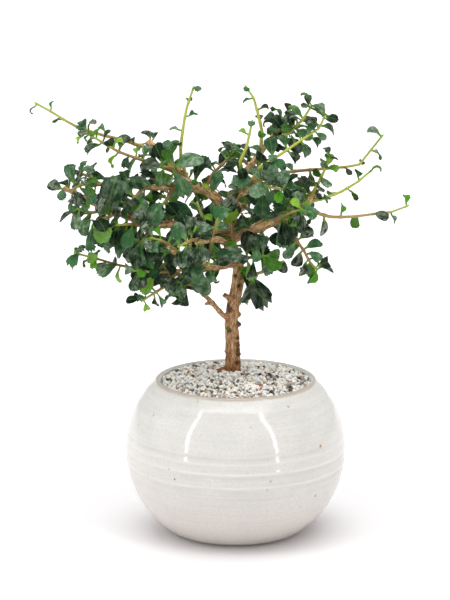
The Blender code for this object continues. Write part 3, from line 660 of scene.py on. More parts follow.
def arithmetic(operation: str, reflected: bool = False) -> Callable[..., "Signal"]:
    """Make a method that does one operation of a Math node.

    Args:
        operation: the node's operation.
        reflected: whether the signal that owns the method comes last.

    Returns:
        The method, which takes the other values and gives the result.
    """
    def method(self: "Signal", *others: "Value") -> "Signal":
        """Result of the operation."""
        values = (*others, self) if reflected else (self, *others)
        return self.nodes.add("Math", {"operation": operation}, dict(enumerate(values)))
    return method


class Signal:
    """An output socket; Python arithmetic on it adds Math nodes."""

    def __init__(self, nodes: "Nodes", socket: bpy.types.NodeSocket) -> None:
        """Wrap one socket of a node."""
        self.nodes = nodes
        self.socket = socket

    __add__ = __radd__ = arithmetic("ADD")
    __sub__ = arithmetic("SUBTRACT")
    __rsub__ = arithmetic("SUBTRACT", reflected=True)
    __mul__ = __rmul__ = arithmetic("MULTIPLY")
    __truediv__ = arithmetic("DIVIDE")
    __pow__ = arithmetic("POWER")
    __gt__ = arithmetic("GREATER_THAN")
    __abs__ = arithmetic("ABSOLUTE")
    fraction = arithmetic("FRACT")

    def step(self, low: float, high: float) -> "Signal":
        """Smooth step from 0 at low to 1 at high."""
        return self.nodes.add("MapRange", {"interpolation_type": "SMOOTHSTEP"},
                              {"Value": self, "From Min": low, "From Max": high})

    def toward(self, tint: "Tint", share: "Value") -> "Signal":
        """This colour with a share of another."""
        return self.nodes.mix(share, self, tint)

    def parts(self) -> tuple["Signal", "Signal", "Signal"]:
        """The three parts of a vector or colour."""
        split = self.nodes.add("SeparateXYZ", inputs={0: self})
        return tuple(Signal(self.nodes, socket) for socket in split.socket.node.outputs)


Value = Signal | float
Tint = Signal | Colour


class Nodes:
    """A node tree, built up one node at a time."""

    def __init__(self, tree: bpy.types.NodeTree) -> None:
        """Take a node tree."""
        self.tree = tree

    def add(self, kind: str, settings: dict[str, Any] | None = None,
            inputs: dict[int | str, Any] | None = None, output: int | str = 0) -> Signal:
        """Add a node.

        Args:
            kind: the node's type, without "ShaderNode".
            settings: properties of the node, which are set first; "stops" are a ramp's.
            inputs: values or signals for its sockets.
            output: the output socket to give back.

        Returns:
            That output as a signal.
        """
        node = self.tree.nodes.new(f"ShaderNode{kind}")
        for name, value in (settings or {}).items():
            if name == "stops":
                self.set_stops(node.color_ramp, value)
            else:
                setattr(node, name, value)
        for name, value in (inputs or {}).items():
            self.feed(node.inputs[name], value)
        return Signal(self, node.outputs[output])

    @staticmethod
    def set_stops(ramp: bpy.types.ColorRamp, stops: Sequence[tuple[float, Colour]]) -> None:
        """Give a colour ramp its stops, as (position, colour) in rising order."""
        while len(ramp.elements) < len(stops):
            ramp.elements.new(1.0)
        for element, (position, colour) in zip(ramp.elements, stops):
            element.position = position
            element.color = (*colour, 1.0)

    def feed(self, socket: bpy.types.NodeSocket, value: Any) -> None:
        """Link a signal to a socket, or set the socket's value."""
        if isinstance(value, Signal):
            self.tree.links.new(value.socket, socket)
        elif socket.type == "RGBA":
            socket.default_value = (*value, 1.0)
        else:
            socket.default_value = value

    def mix(self, factor: Value, first: Tint, second: Tint, blend: str = "MIX") -> Signal:
        """Mix two colours."""
        return self.add("Mix", {"data_type": "RGBA", "blend_type": blend},
                        {0: factor, 6: first, 7: second}, output=2)

    def ramp(self, value: Value, stops: Sequence[tuple[float, Colour]]) -> Signal:
        """Colour read off a ramp."""
        return self.add("ValToRGB", {"stops": stops}, {0: value})


class Shader(Nodes):
    """A Principled material whose patterns are built up node by node."""

    def __init__(self, name: str, **uniform: float) -> None:
        """Start a material.

        Args:
            name: the material's name.
            uniform: values that are the same all over the surface, by socket name with _ for a space.
        """
        self.material = bpy.data.materials.new(name)
        self.material.use_nodes = True
        super().__init__(self.material.node_tree)
        self.dress(**uniform)

    def dress(self, **sockets: Any) -> bpy.types.Material:
        """Feed the surface's own sockets, named with _ for a space, and give the material."""
        surface = self.tree.nodes["Principled BSDF"]
        for name, value in sockets.items():
            self.feed(surface.inputs[name.replace("_", " ")], value)
        return self.material

    def place(self) -> Signal:
        """Object coordinates in millimetres."""
        coordinates = self.add("TexCoord", output="Object")
        return self.add("VectorMath", {"operation": "SCALE"}, {0: coordinates, "Scale": 1 / MM})

    def attribute(self, name: str, output: str = "Vector") -> Signal:
        """An attribute of the mesh."""
        return self.add("Attribute", {"attribute_name": name}, output=output)

    def vector(self, x: Value, y: Value, z: Value) -> Signal:
        """A vector made of three values."""
        return self.add("CombineXYZ", inputs={0: x, 1: y, 2: z})

    def noise(self, vector: Signal, scale: float, detail: float = 3.0, rough: float = 0.5,
              bend: float = 0.0) -> Signal:
        """Soft noise from 0 to 1, with about scale lumps to each unit of the vector."""
        return self.add("TexNoise", inputs={"Vector": vector, "Scale": scale, "Detail": detail,
                                            "Roughness": rough, "Distortion": bend})

    def cells(self, vector: Signal, scale: float) -> Signal:
        """Distance to the middle of the nearest cell."""
        return self.add("TexVoronoi", inputs={"Vector": vector, "Scale": scale})

    def grey(self, factor: Value) -> Signal:
        """A value as a grey colour."""
        return self.add("CombineColor", inputs={0: factor, 1: factor, 2: factor})

    def bump(self, height: Value, depth: float, strength: float = 1.0) -> Signal:
        """Normal bent by a height of up to depth millimetres."""
        return self.add("Bump", inputs={"Strength": strength, "Distance": depth * MM, "Height": height})


# ---- finishes

@dataclass(frozen=True)
class GlazeFinish:
    """White stoneware glaze: streaks along the throwing lines, a painted highlight on each ridge and
    painted shade in each groove of the throwing rings, iron specks and a brown break at the rim.
    """

    milk: Colour = srgb(215, 213, 209)
    shade: Colour = srgb(202, 201, 194)
    warm_low_tint: Colour = srgb(215, 206, 199)
    speckle: Colour = srgb(194, 190, 182)
    # painted highlight for the ridges and painted shade for the grooves of the throwing rings
    ridge_highlight: Colour = srgb(230, 229, 225)
    groove_shade: Colour = srgb(190, 188, 180)
    clay: Colour = srgb(172, 156, 140)
    foot_clay: Colour = srgb(196, 180, 160)
    halo: Colour = srgb(205, 182, 148)
    iron: Colour = srgb(150, 105, 58)
    soot: Colour = srgb(112, 104, 92)
    rim_height: float = 105.0
    rim_radius: float = 55.1
    rim_inside: float = 53.6
    warm_low_tint_top: float = 50.0       # height under which the glaze turns warmer and darker towards the foot
    warm_low_tint_foot: float = 8.0       # height at which that warmer, darker tint is full
    speck_reach: float = 0.13     # radius of an iron speck, in cells

    def material(self, rings: Sequence["ThrowingRing"]) -> bpy.types.Material:
        """Make the material.

        Args:
            rings: the throwing rings, whose ridges get a painted highlight and whose grooves get painted
                shade.

        Returns:
            The material.
        """
        shader = Shader("white_glaze", Specular_IOR_Level=0.15, Coat_Roughness=0.05)
        place = shader.place()
        x, y, z = place.parts()
        wander = (shader.noise(place, 0.022, 2.0) - 0.5) * 1.2
        lines = shader.noise(shader.vector(x * 0.018, y * 0.018, z * 0.6), 1.0, 5.0, 0.62)
        fine_lines = shader.noise(shader.vector(x * 0.03, y * 0.03, z * 2.2), 1.0, 3.0, 0.6)
        cloud = shader.noise(place, 0.045, 4.0, 0.55)
        grain = shader.noise(place, 0.7, 4.0, 0.7)
        streak = (lines * 0.55 + cloud * 0.45).step(0.35, 0.65)
        colour = shader.mix(streak * 0.75, self.milk, self.shade)
        # warmer and darker towards the foot
        low = (z + (cloud - 0.5) * 40).step(self.warm_low_tint_top, self.warm_low_tint_foot)
        colour = colour.toward(self.warm_low_tint, low * 0.85)
        colour = colour.toward(self.speckle, grain.step(0.44, 0.68) * 0.55)
        colour = colour.toward(self.milk, fine_lines.step(0.48, 0.74) * 0.5)
        patchy = cloud.step(0.25, 0.62)
        # painted light: each ridge is coloured lighter and each groove darker, as top light would shade
        # them
        for ring in rings:
            near = 1.0 - abs(z + wander - ring.height).step(0.0, ring.width)
            colour = colour.toward(self.ridge_highlight if ring.relief > 0 else self.groove_shade,
                                   near * patchy * (0.5 * abs(ring.relief)))
        for size, share in ((12.0, 0.45), (5.5, 0.72)):
            cells = shader.cells(place, 1 / size)
            chosen, own, rust = Signal(shader, cells.socket.node.outputs["Color"]).parts()
            ragged = (cells + (grain - 0.5) * 0.05) / (own * own * 0.75 + 0.25)
            halo = 1.0 - ragged.step(self.speck_reach * 0.5, self.speck_reach * 1.9)
            core = 1.0 - ragged.step(self.speck_reach * 0.45, self.speck_reach)
            colour = colour.toward(self.halo, halo * (chosen > share) * 0.25)
            colour = colour.toward(shader.mix(rust, self.iron, self.soot), core * (chosen > share) * 0.85)
        rim = (z + (grain - 0.5) * 1.2).step(self.rim_height - 0.6, self.rim_height + 0.9)
        edge = (x * x + y * y) ** 0.5 + (grain - 0.5) * 0.8
        rim = rim * edge.step(self.rim_inside - 1.6, self.rim_inside)
        rim = rim * (1.0 - edge.step(self.rim_radius, self.rim_radius + 1.2))
        colour = colour.toward(self.clay, rim * 0.75)
        bare = 1.0 - (z + (cloud - 0.5) * 1.5).step(0.6, 1.6)
        colour = colour.toward(self.foot_clay, bare)
        height = lines * 0.3 + fine_lines * 0.2 + shader.noise(place, 0.28, 2.0) * 0.5
        return shader.dress(Base_Color=colour, Roughness=0.16 + bare * 0.5 + grain * 0.06,
                            Coat_Weight=(1.0 - bare) * 0.45, Normal=shader.bump(height, 0.1, 0.2))


class MeshFinish:
    """Black plastic mesh with a faint moulded grain."""

    def material(self) -> bpy.types.Material:
        """Make the material."""
        shader = Shader("black_mesh")
        grain = shader.noise(shader.place(), 1.2, 4.0)
        return shader.dress(Base_Color=shader.mix(grain, srgb(20, 20, 20), srgb(48, 47, 45)),
                            Roughness=0.5 + grain * 0.3, Normal=shader.bump(grain, 0.1))


class SoilFinish:
    """Dark potting soil with paler crumbs."""

    def material(self) -> bpy.types.Material:
        """Make the material."""
        shader = Shader("soil", Specular_IOR_Level=0.2)
        place = shader.place()
        crumbs = shader.cells(place, 0.5)
        grain = shader.noise(place, 0.6, 6.0, 0.7)
        colour = shader.mix(grain, srgb(38, 26, 18), srgb(92, 68, 48))
        colour = colour.toward(srgb(120, 100, 78), 1.0 - crumbs.step(0.15, 0.5))
        return shader.dress(Base_Color=colour, Roughness=0.85 + grain * 0.15,
                            Normal=shader.bump(grain - crumbs, 1.2))


class StoneFinish:
    """Crushed stone: each chip has its own colour, with a crystalline mottle."""

    def material(self) -> bpy.types.Material:
        """Make the material, which reads each chip's stone attribute."""
        shader = Shader("crushed_stone", Specular_IOR_Level=0.4)
        place = shader.place()
        crystals = shader.noise(place, 1.1, 5.0, 0.75)
        flecks = shader.noise(place, 2.6, 2.0).step(0.6, 0.7)
        colour = shader.mix(1.0, shader.attribute("stone", "Color"), shader.grey(0.82 + crystals * 0.42),
                            "MULTIPLY")
        return shader.dress(Base_Color=colour.toward(srgb(120, 116, 110), flecks * 0.3),
                            Roughness=0.55 + crystals * 0.35, Normal=shader.bump(crystals, 0.35))


@dataclass(frozen=True)
class BarkFinish:
    """Tan bark with long fibres and dark cracks, dark at scars and pale where a limb was cut; amber high
    up, partly the paler colour of younger wood and partly painted light on limbs in the leaves' shade.
    """

    tan: Colour = srgb(212, 166, 120)
    brown: Colour = srgb(160, 114, 76)
    pale: Colour = srgb(240, 206, 164)
    rust: Colour = srgb(158, 84, 38)
    amber_and_painted_light: Colour = srgb(250, 206, 148)
    dark: Colour = srgb(66, 42, 28)
    cut: Colour = srgb(222, 188, 152)
    young: Colour = srgb(140, 118, 62)
    amber_and_painted_light_heights: tuple[float, float] = (185.0, 215.0)    # between these the bark turns to amber: partly younger wood's paler colour, partly painted light lifting the shaded limbs
    rust_heights: tuple[float, float] = (116.0, 138.0)     # between these the rust fades out

    def material(self) -> bpy.types.Material:
        """Make the material, which reads the grain and wear attributes of the wood."""
        shader = Shader("bark", Specular_IOR_Level=0.25)
        x, y, along = shader.attribute("grain").parts()
        cut, scar, young = shader.attribute("wear").parts()
        fibre = shader.noise(shader.vector(x * 1.5, y * 1.5, along * 0.22), 1.0, 6.0, 0.68, 0.6)
        patch = shader.noise(shader.vector(x * 0.3, y * 0.3, along * 0.1), 1.0, 4.0, 0.6)
        crack = shader.noise(shader.vector(x * 0.8, y * 0.8, along * 0.13), 1.0, 4.0, 0.6)
        crack = 1.0 - abs(crack - 0.5).step(0.0, 0.06)
        place = shader.place()
        _, _, height = place.parts()
        mottle = shader.noise(place, 0.8, 4.0, 0.7).step(0.54, 0.72)
        colour = shader.ramp(fibre, ((0.28, self.brown), (0.5, self.tan), (0.72, self.pale)))
        colour = colour.toward(self.brown, patch.step(0.42, 0.7) * 0.5)
        # amber higher up: younger wood's own colour together with painted light on the limbs the leaves
        # shade
        colour = colour.toward(self.amber_and_painted_light, height.step(*self.amber_and_painted_light_heights) * 0.7)
        colour = colour.toward(self.rust, (1.0 - (height + patch * 24.0).step(*self.rust_heights)) * 0.8)
        colour = colour.toward(self.dark, mottle * (1.0 - young) * 0.6)
        colour = colour.toward(self.young, young * 0.6)
        colour = colour.toward(self.dark, crack * (1.0 - young) * 0.8)
        colour = colour.toward(self.dark, scar)
        colour = colour.toward(shader.mix(fibre, self.cut, self.tan), cut)
        return shader.dress(Base_Color=colour, Roughness=0.7 + fibre * 0.25,
                            Normal=shader.bump(fibre - crack * 0.7, 0.5, 0.9))


@dataclass(frozen=True)
class StemFinish:
    """Young stem that turns from brown bark at its foot to yellow-green at its tip."""

    bark: Colour = srgb(146, 108, 68)
    lime: Colour = srgb(172, 178, 62)
    leafy: Colour = srgb(128, 160, 56)
    fleck: Colour = srgb(110, 76, 46)
    bloom: Colour = srgb(206, 206, 120)

    def material(self) -> bpy.types.Material:
        """Make the material, which reads the stem's growth attribute."""
        shader = Shader("young_stem", Specular_IOR_Level=0.4)
        share, green, tone = shader.attribute("growth").parts()
        fleck = shader.noise(shader.place(), 0.9, 4.0, 0.65)
        young = shader.mix(share.step(0.6, 1.0), self.lime, self.leafy)
        fresh = (share + (fleck - 0.5) * 0.5 + green - 0.75).step(0.0, 0.5)
        colour = shader.mix(fresh, self.bark, young)
        colour = colour.toward(self.fleck, fleck.step(0.52, 0.75) * 0.4).toward(self.bloom, tone * 0.25)
        return shader.dress(Base_Color=colour, Roughness=0.45 + fleck * 0.2, Normal=shader.bump(fleck, 0.2))


@dataclass(frozen=True)
class LeafFinish:
    """Small leathery leaf: dark with pale dust and a painted sheen above, paler below, yellow-green while
    it is young.
    """

    dark: Colour = srgb(2, 25, 15)
    deep: Colour = srgb(56, 104, 62)
    # grey of the leaves' dust and of their painted sheen
    dust_and_sheen_grey: Colour = srgb(172, 182, 162)
    fresh: Colour = srgb(78, 144, 28)
    bright: Colour = srgb(142, 186, 48)
    below: Colour = srgb(76, 122, 44)
    vein: Colour = srgb(106, 148, 66)
    veins: float = 7.5            # side veins to a leaf's length

    def material(self) -> bpy.types.Material:
        """Make the material, which reads the blade and growth attributes of each leaf."""
        shader = Shader("leaf", Specular_IOR_Level=0.05)
        across, along, layer = shader.attribute("blade").parts()
        age, tone, sheen = shader.attribute("growth").parts()
        blotch = shader.noise(shader.place(), 0.16, 3.0)
        streaks = shader.vector(across * 1.1, along * 2.2, tone * 37.0 + layer)
        speck = shader.noise(streaks, 1.9, 4.0, 0.64, 0.4)
        side = abs(across)
        ribs = (along * self.veins - side * 2.4).fraction()
        ribs = abs(ribs - 0.5).step(0.36, 0.5) * side.step(0.02, 0.1)
        midrib = 1.0 - side.step(0.03, 0.11)
        foot = 1.0 - along.step(-0.1, 0.24)
        under = 1.0 - layer.step(0.1, 0.4)
        colour = shader.mix((tone * 0.8 + blotch * 0.4).step(0.4, 1.0), self.dark, self.deep)
        # pale specks: a little dust on every leaf, plus a painted sheen that grows with each leaf's sheen
        # number
        bloom = speck.step(0.3, 0.82) * blotch.step(0.3, 0.66) * (0.04 + sheen * 1.1)
        colour = colour.toward(self.dust_and_sheen_grey, bloom)
        colour = colour.toward(shader.mix(tone.step(0.3, 1.0), self.fresh, self.bright), age)
        colour = colour.toward(self.vein, ribs * 0.16)
        colour = colour.toward(shader.mix(0.5, self.vein, self.bright), midrib * 0.2 + foot * 0.6)
        colour = colour.toward(shader.mix(midrib * 0.6 + ribs * 0.2, self.below, self.vein),
                               under * (0.85 - age * 0.5))
        height = speck * 0.5 - ribs * 0.6 - midrib + blotch
        return shader.dress(Base_Color=colour, Roughness=0.16 + speck * 0.24 + under * 0.25,
                            Normal=shader.bump(height, 0.35, 0.8))


class FloorFinish:
    """Plain pale studio floor with a painted glow that grows with distance from the plant, lifting the soft
    shadow around it while the floor right by the pot stays dark.
    """

    # how far from the plant each painted glow starts and is full, and its power
    painted_glows: tuple[Triple, ...] = ((44.0, 100.0, 0.09), (130.0, 420.0, 0.22), (250.0, 1500.0, 0.4))

    def material(self) -> bpy.types.Material:
        """Make the material."""
        shader = Shader("studio_floor", Roughness=0.8, Specular_IOR_Level=0.1, Emission_Strength=1.0)
        place = shader.place()
        cloud = shader.noise(place, 0.004, 2.0)
        x, y, _ = place.parts()
        away = (x * x + y * y) ** 0.5
        # painted light: the floor's emission rises with distance from the plant
        painted_glow = sum(away.step(near, far) * power for near, far, power in self.painted_glows)
        return shader.dress(Base_Color=shader.mix(cloud, srgb(233, 231, 232), srgb(238, 236, 237)),
                            Emission_Color=shader.grey(painted_glow))


# ---- modelling

class Bench:
    """Modelling by operators on one object at a time."""

    @staticmethod
    def only(*pieces: Piece) -> None:
        """Select these objects and nothing else; the first is the active one."""
        bpy.ops.object.select_all(action="DESELECT")
        for piece in pieces:
            piece.select_set(True)
        bpy.context.view_layer.objects.active = pieces[0]

    @staticmethod
    @contextmanager
    def editing(piece: Piece) -> Iterator[None]:
        """Edit mode on one object."""
        Bench.only(piece)
        bpy.ops.object.mode_set(mode="EDIT")
        try:
            yield
        finally:
            bpy.ops.object.mode_set(mode="OBJECT")

    @staticmethod
    def primitive(kind: str, **settings: Any) -> Piece:
        """Add a primitive, which alone is then selected."""
        bpy.ops.object.select_all(action="DESELECT")
        getattr(bpy.ops.mesh, f"primitive_{kind}_add")(**settings)
        return bpy.context.active_object

    @staticmethod
    def close_up(threshold: float = 0.0) -> None:
        """Turn the faces of the mesh in edit mode outward, after merging points nearer than a threshold."""
        bpy.ops.mesh.select_all(action="SELECT")
        if threshold:
            bpy.ops.mesh.remove_doubles(threshold=threshold * MM)
        bpy.ops.mesh.normals_make_consistent(inside=False)

    @staticmethod
    def apply(piece: Piece, kind: str, **settings: Any) -> None:
        """Add a modifier with these settings and apply it."""
        Bench.only(piece)
        modifier = piece.modifiers.new(kind.title(), kind)
        for name, value in settings.items():
            setattr(modifier, name, value)
        bpy.ops.object.modifier_apply(modifier=modifier.name)

    @staticmethod
    def join(pieces: Sequence[Piece], name: str) -> Piece:
        """Join objects into one and name it."""
        Bench.only(*pieces)
        bpy.ops.object.join()
        pieces[0].name = pieces[0].data.name = name
        return pieces[0]

    @staticmethod
    def finish(piece: Piece, material: bpy.types.Material) -> None:
        """Give a piece one material all over."""
        piece.data.materials.clear()
        piece.data.materials.append(material)

    @staticmethod
    def smooth(piece: Piece, degrees: float) -> None:
        """Shade smooth, with sharp edges over an angle."""
        Bench.only(piece)
        bpy.ops.object.shade_smooth_by_angle(angle=math.radians(degrees))

    @staticmethod
    def copy(piece: Piece) -> Piece:
        """Copy of an object with its own mesh."""
        twin = piece.copy()
        twin.data = piece.data.copy()
        twin.hide_render = False
        bpy.context.scene.collection.objects.link(twin)
        return twin

    @staticmethod
    def points(piece: Piece) -> np.ndarray:
        """A mesh's points, in metres, one row each."""
        return Bench.read(piece.data.vertices, "co")

    @staticmethod
    def read(rows: bpy.types.bpy_prop_collection, name: str) -> np.ndarray:
        """A vector of each item of a mesh, one row each."""
        found = np.zeros(len(rows) * 3, np.float32)
        rows.foreach_get(name, found)
        return found.reshape(-1, 3).astype(float)

    @staticmethod
    def move_points(piece: Piece, points: np.ndarray) -> None:
        """Give a mesh's points new places."""
        piece.data.vertices.foreach_set("co", np.ascontiguousarray(points, float).ravel())
        piece.data.update()

    @staticmethod
    def mark(piece: Piece, name: str, rows: np.ndarray, kind: str = "VECTOR") -> None:
        """Give each point of a mesh its numbers under a name, as a vector or a colour."""
        attribute = piece.data.attributes.new(name, f"FLOAT_{kind}", "POINT")
        attribute.data.foreach_set(kind.lower(), np.ascontiguousarray(rows, np.float32).ravel())

    @staticmethod
    def tube(name: str, points: Sequence[Vector], radii: Sequence[float], resolution: int) -> Piece:
        """Closed round tube.

        Args:
            name: the object's name.
            points: its middle line, in millimetres.
            radii: the radius at each point.
            resolution: the roundness; the tube has 4 + 2 * resolution sides.

        Returns:
            The tube as a mesh object.
        """
        curve = bpy.data.curves.new(name, "CURVE")
        curve.dimensions = "3D"
        curve.bevel_depth = MM
        curve.bevel_resolution = resolution
        curve.use_fill_caps = True
        spline = curve.splines.new("POLY")
        spline.points.add(len(points) - 1)
        for knot, point, radius in zip(spline.points, points, radii):
            knot.co = (*(Vector(point) * MM), 1.0)
            knot.radius = radius
        piece = bpy.data.objects.new(name, curve)
        bpy.context.scene.collection.objects.link(piece)
        Bench.only(piece)
        bpy.ops.object.convert(target="MESH")
        with Bench.editing(piece):
            Bench.close_up(0.02)
        return piece


class Turning:
    """A round shape turned ring by ring: each step extrudes the last ring to a new radius and height."""

    def __init__(self, name: str, radius: float, height: float, segments: int) -> None:
        """Start with a filled disc.

        Args:
            name: the object's name.
            radius: the disc's radius, in millimetres.
            height: its height.
            segments: the corners of each ring.
        """
        disc = Bench.primitive("circle", vertices=segments, radius=radius * MM, fill_type="NGON",
                               enter_editmode=True)
        disc.name = name
        bpy.ops.transform.translate(value=(0, 0, height * MM))
        self.radius, self.height = radius, height
        bpy.ops.mesh.select_mode(type="EDGE")

    def to(self, radius: float, height: float) -> None:
        """Extrude the last ring to a radius and height."""
        bpy.ops.mesh.extrude_region_move(
            TRANSFORM_OT_translate={"value": (0, 0, (height - self.height) * MM)})
        share = radius / self.radius
        bpy.ops.transform.resize(value=(share, share, 1), center_override=(0, 0, height * MM))
        self.radius, self.height = radius, height

    def finish(self) -> Piece:
        """Fill the last ring, turn the faces outward and leave edit mode."""
        bpy.ops.mesh.edge_face_add()
        Bench.close_up(0.01)
        bpy.ops.object.mode_set(mode="OBJECT")
        return bpy.context.active_object


def lump(seed: int, points: np.ndarray, size: float) -> np.ndarray:
    """Soft noise from -1 to 1 at points in millimetres, with lumps of about a size."""
    shift = Vector((seed * 17.3, seed * 5.1, seed * 11.7))
    return np.array([noise.noise(Vector(point) / size + shift) for point in points])


# ---- pot and what it holds

@dataclass(frozen=True)
class ThrowingRing:
    """A ring left by the thrower's fingers: its height on the wall, relief and width."""

    height: float
    relief: float
    width: float


@dataclass
class Pot:
    """Wheel-thrown pot with a rounded rim, finger rings on its wall and a turned foot."""

    height: float = 107.0
    belly_radius: float = 75.6
    belly_height: float = 60.0
    foot_radius: float = 44.0
    roundness: float = 2.15
    rim_thickness: float = 4.0
    rim_radius: float = 55.5
    wall: float = 6.0
    floor: float = 8.0
    segments: int = 128
    wall_step: float = 1.15
    foot_recess: float = 1.2
    foot_edge: float = 2.2        # height where the foot's rounding ends
    disc_radius: float = 6.0      # where the turning starts and ends
    drain_circle: float = 22.0
    drain_radius: float = 4.5
    drain_first_angle: float = math.radians(80)
    rings: tuple[ThrowingRing, ...] = tuple(ThrowingRing(*sizes) for sizes in (
        (99.5, 0.5, 1.8), (95.5, -0.35, 1.6), (88.5, 0.2, 2.4), (82.0, -0.15, 2.2), (76.0, 0.15, 2.4),
        (70.5, -0.9, 1.6), (67.0, 0.5, 1.8), (60.0, 1.1, 1.5), (57.0, -0.6, 1.5), (50.5, 1.1, 1.5),
        (47.5, -0.55, 1.5), (42.0, -0.4, 1.5), (23.5, -0.3, 1.6)))
    relief_depth: float = 0.38
    glaze: GlazeFinish = field(default_factory=GlazeFinish)

    @property
    def top(self) -> float:
        """Height where the rim's rounding starts."""
        return self.height - self.rim_thickness / 2

    def outer(self, height: float) -> float:
        """Radius of the outer wall at a height: a superellipse through foot, belly and rim."""
        edge_radius = self.foot_radius if height < self.belly_height else self.rim_radius
        edge_height = 0.0 if height < self.belly_height else self.top
        reach = (1 - (edge_radius / self.belly_radius) ** self.roundness) ** (1 / self.roundness)
        drop = min(1.0, abs(height - self.belly_height) * reach / abs(edge_height - self.belly_height))
        return self.belly_radius * (1 - drop ** self.roundness) ** (1 / self.roundness)

    def inner(self, height: float) -> float:
        """Radius of the hollow at a height."""
        share = max(0.0, (height - self.belly_height) / (self.top - self.belly_height))
        return self.outer(height) - self.wall - (self.rim_thickness - self.wall) * share

    def build(self) -> Piece:
        """Turn the pot, press the throwing rings into it, bore the drain holes and glaze it."""
        turning = Turning("thrown_pot", self.disc_radius, self.foot_recess, self.segments)
        foot = self.outer(0)
        for radius in (20.0, 34.0, 36.5):
            turning.to(radius, self.foot_recess)
        for radius, height in ((37.4, 0.3), (38.2, 0.0), (foot - 2.6, 0.0), (foot - 2.2, 0.3),
                               (foot - 0.2, 1.6)):
            turning.to(radius, height)
        tall = self.top - self.foot_edge
        steps = round(tall / self.wall_step)
        for index in range(steps + 1):
            height = self.foot_edge + tall * index / steps
            turning.to(self.outer(height), height)
        for angle in (25, 55, 90, 125, 155):
            lean = math.radians(angle)
            turning.to(self.rim_radius - self.rim_thickness / 2 * (1 - math.cos(lean)),
                       self.top + self.rim_thickness / 2 * math.sin(lean))
        corner = self.floor + 4
        for height in (self.top, 103.0, 100.0, 92.0, 80.0, 64.0, 48.0, 32.0, 20.0, corner):
            turning.to(self.inner(height), height)
        for inset, height in ((2.0, self.floor + 1.2), (5.0, self.floor), (30.0, self.floor)):
            turning.to(self.inner(corner) - inset, height)
        turning.to(self.disc_radius, self.floor)
        pot = turning.finish()
        self.press_rings(pot)
        self.bore(pot)
        Bench.smooth(pot, 35)
        self.dress(pot)
        return pot

    def press_rings(self, pot: Piece) -> None:
        """Move the outer wall in and out by the throwing rings, and let the whole wall waver."""
        points = Bench.points(pot) / MM
        radius = np.hypot(points[:, 0], points[:, 1])
        wall = np.array([self.outer(min(max(height, 0.0), self.top)) for height in points[:, 2]])
        outer = (np.abs(radius - wall) < 0.01) & (points[:, 2] > 1.0) & (points[:, 2] < self.top - 0.5)
        angle = np.arctan2(points[:, 1], points[:, 0])
        circle = np.column_stack([np.cos(angle), np.sin(angle), points[:, 2] / 40]) * 10
        wander = lump(1, circle, 9.0)
        strength = 0.75 + 0.5 * lump(2, circle, 7.0)
        height = points[:, 2] + 1.3 * wander
        shift = 0.25 * lump(3, circle, 12.0)
        for ring in self.rings:
            near = np.exp(-((height - ring.height) / ring.width) ** 2)
            shift += ring.relief * self.relief_depth * strength * near
        shift += 0.035 * lump(4, np.column_stack([circle[:, :2] * 0.12, points[:, 2:]]), 1.9)
        fade = np.clip((self.top - points[:, 2]) / 6, 0, 1) * np.clip(points[:, 2] / 6, 0, 1)
        factor = 1 + np.where(outer, shift * fade, 0.0) / np.maximum(radius, 1.0)
        points[:, :2] *= factor[:, None]
        Bench.move_points(pot, points * MM)

    def bore(self, pot: Piece) -> None:
        """Bore the three drain holes through the floor."""
        for index in range(3):
            angle = self.drain_first_angle + 2 * math.pi * index / 3
            bit = Bench.primitive("cylinder", vertices=32, radius=self.drain_radius * MM,
                                  depth=4 * self.floor * MM,
                                  location=(self.drain_circle * math.cos(angle) * MM,
                                            self.drain_circle * math.sin(angle) * MM, 0))
            Bench.apply(pot, "BOOLEAN", operation="DIFFERENCE", solver="EXACT", object=bit)
            bpy.data.objects.remove(bit, do_unlink=True)

    def dress(self, pot: Piece) -> None:
        """Glaze the pot and put it in the frame."""
        Bench.finish(pot, self.glaze.material(self.rings))
        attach(pot, "root")
        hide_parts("pot")


class Stone(Enum):
    """Colours of the crushed stone, with how common each is."""

    WHITE = (srgb(255, 254, 250), 46)
    CREAM = (srgb(252, 244, 230), 26)
    SILVER = (srgb(232, 228, 220), 15)
    GREY = (srgb(168, 163, 157), 6)
    SLATE = (srgb(104, 99, 96), 4)
    BLACK = (srgb(54, 50, 48), 3)
    BRICK = (srgb(206, 154, 134), 4)
    OCHRE = (srgb(224, 200, 166), 3)


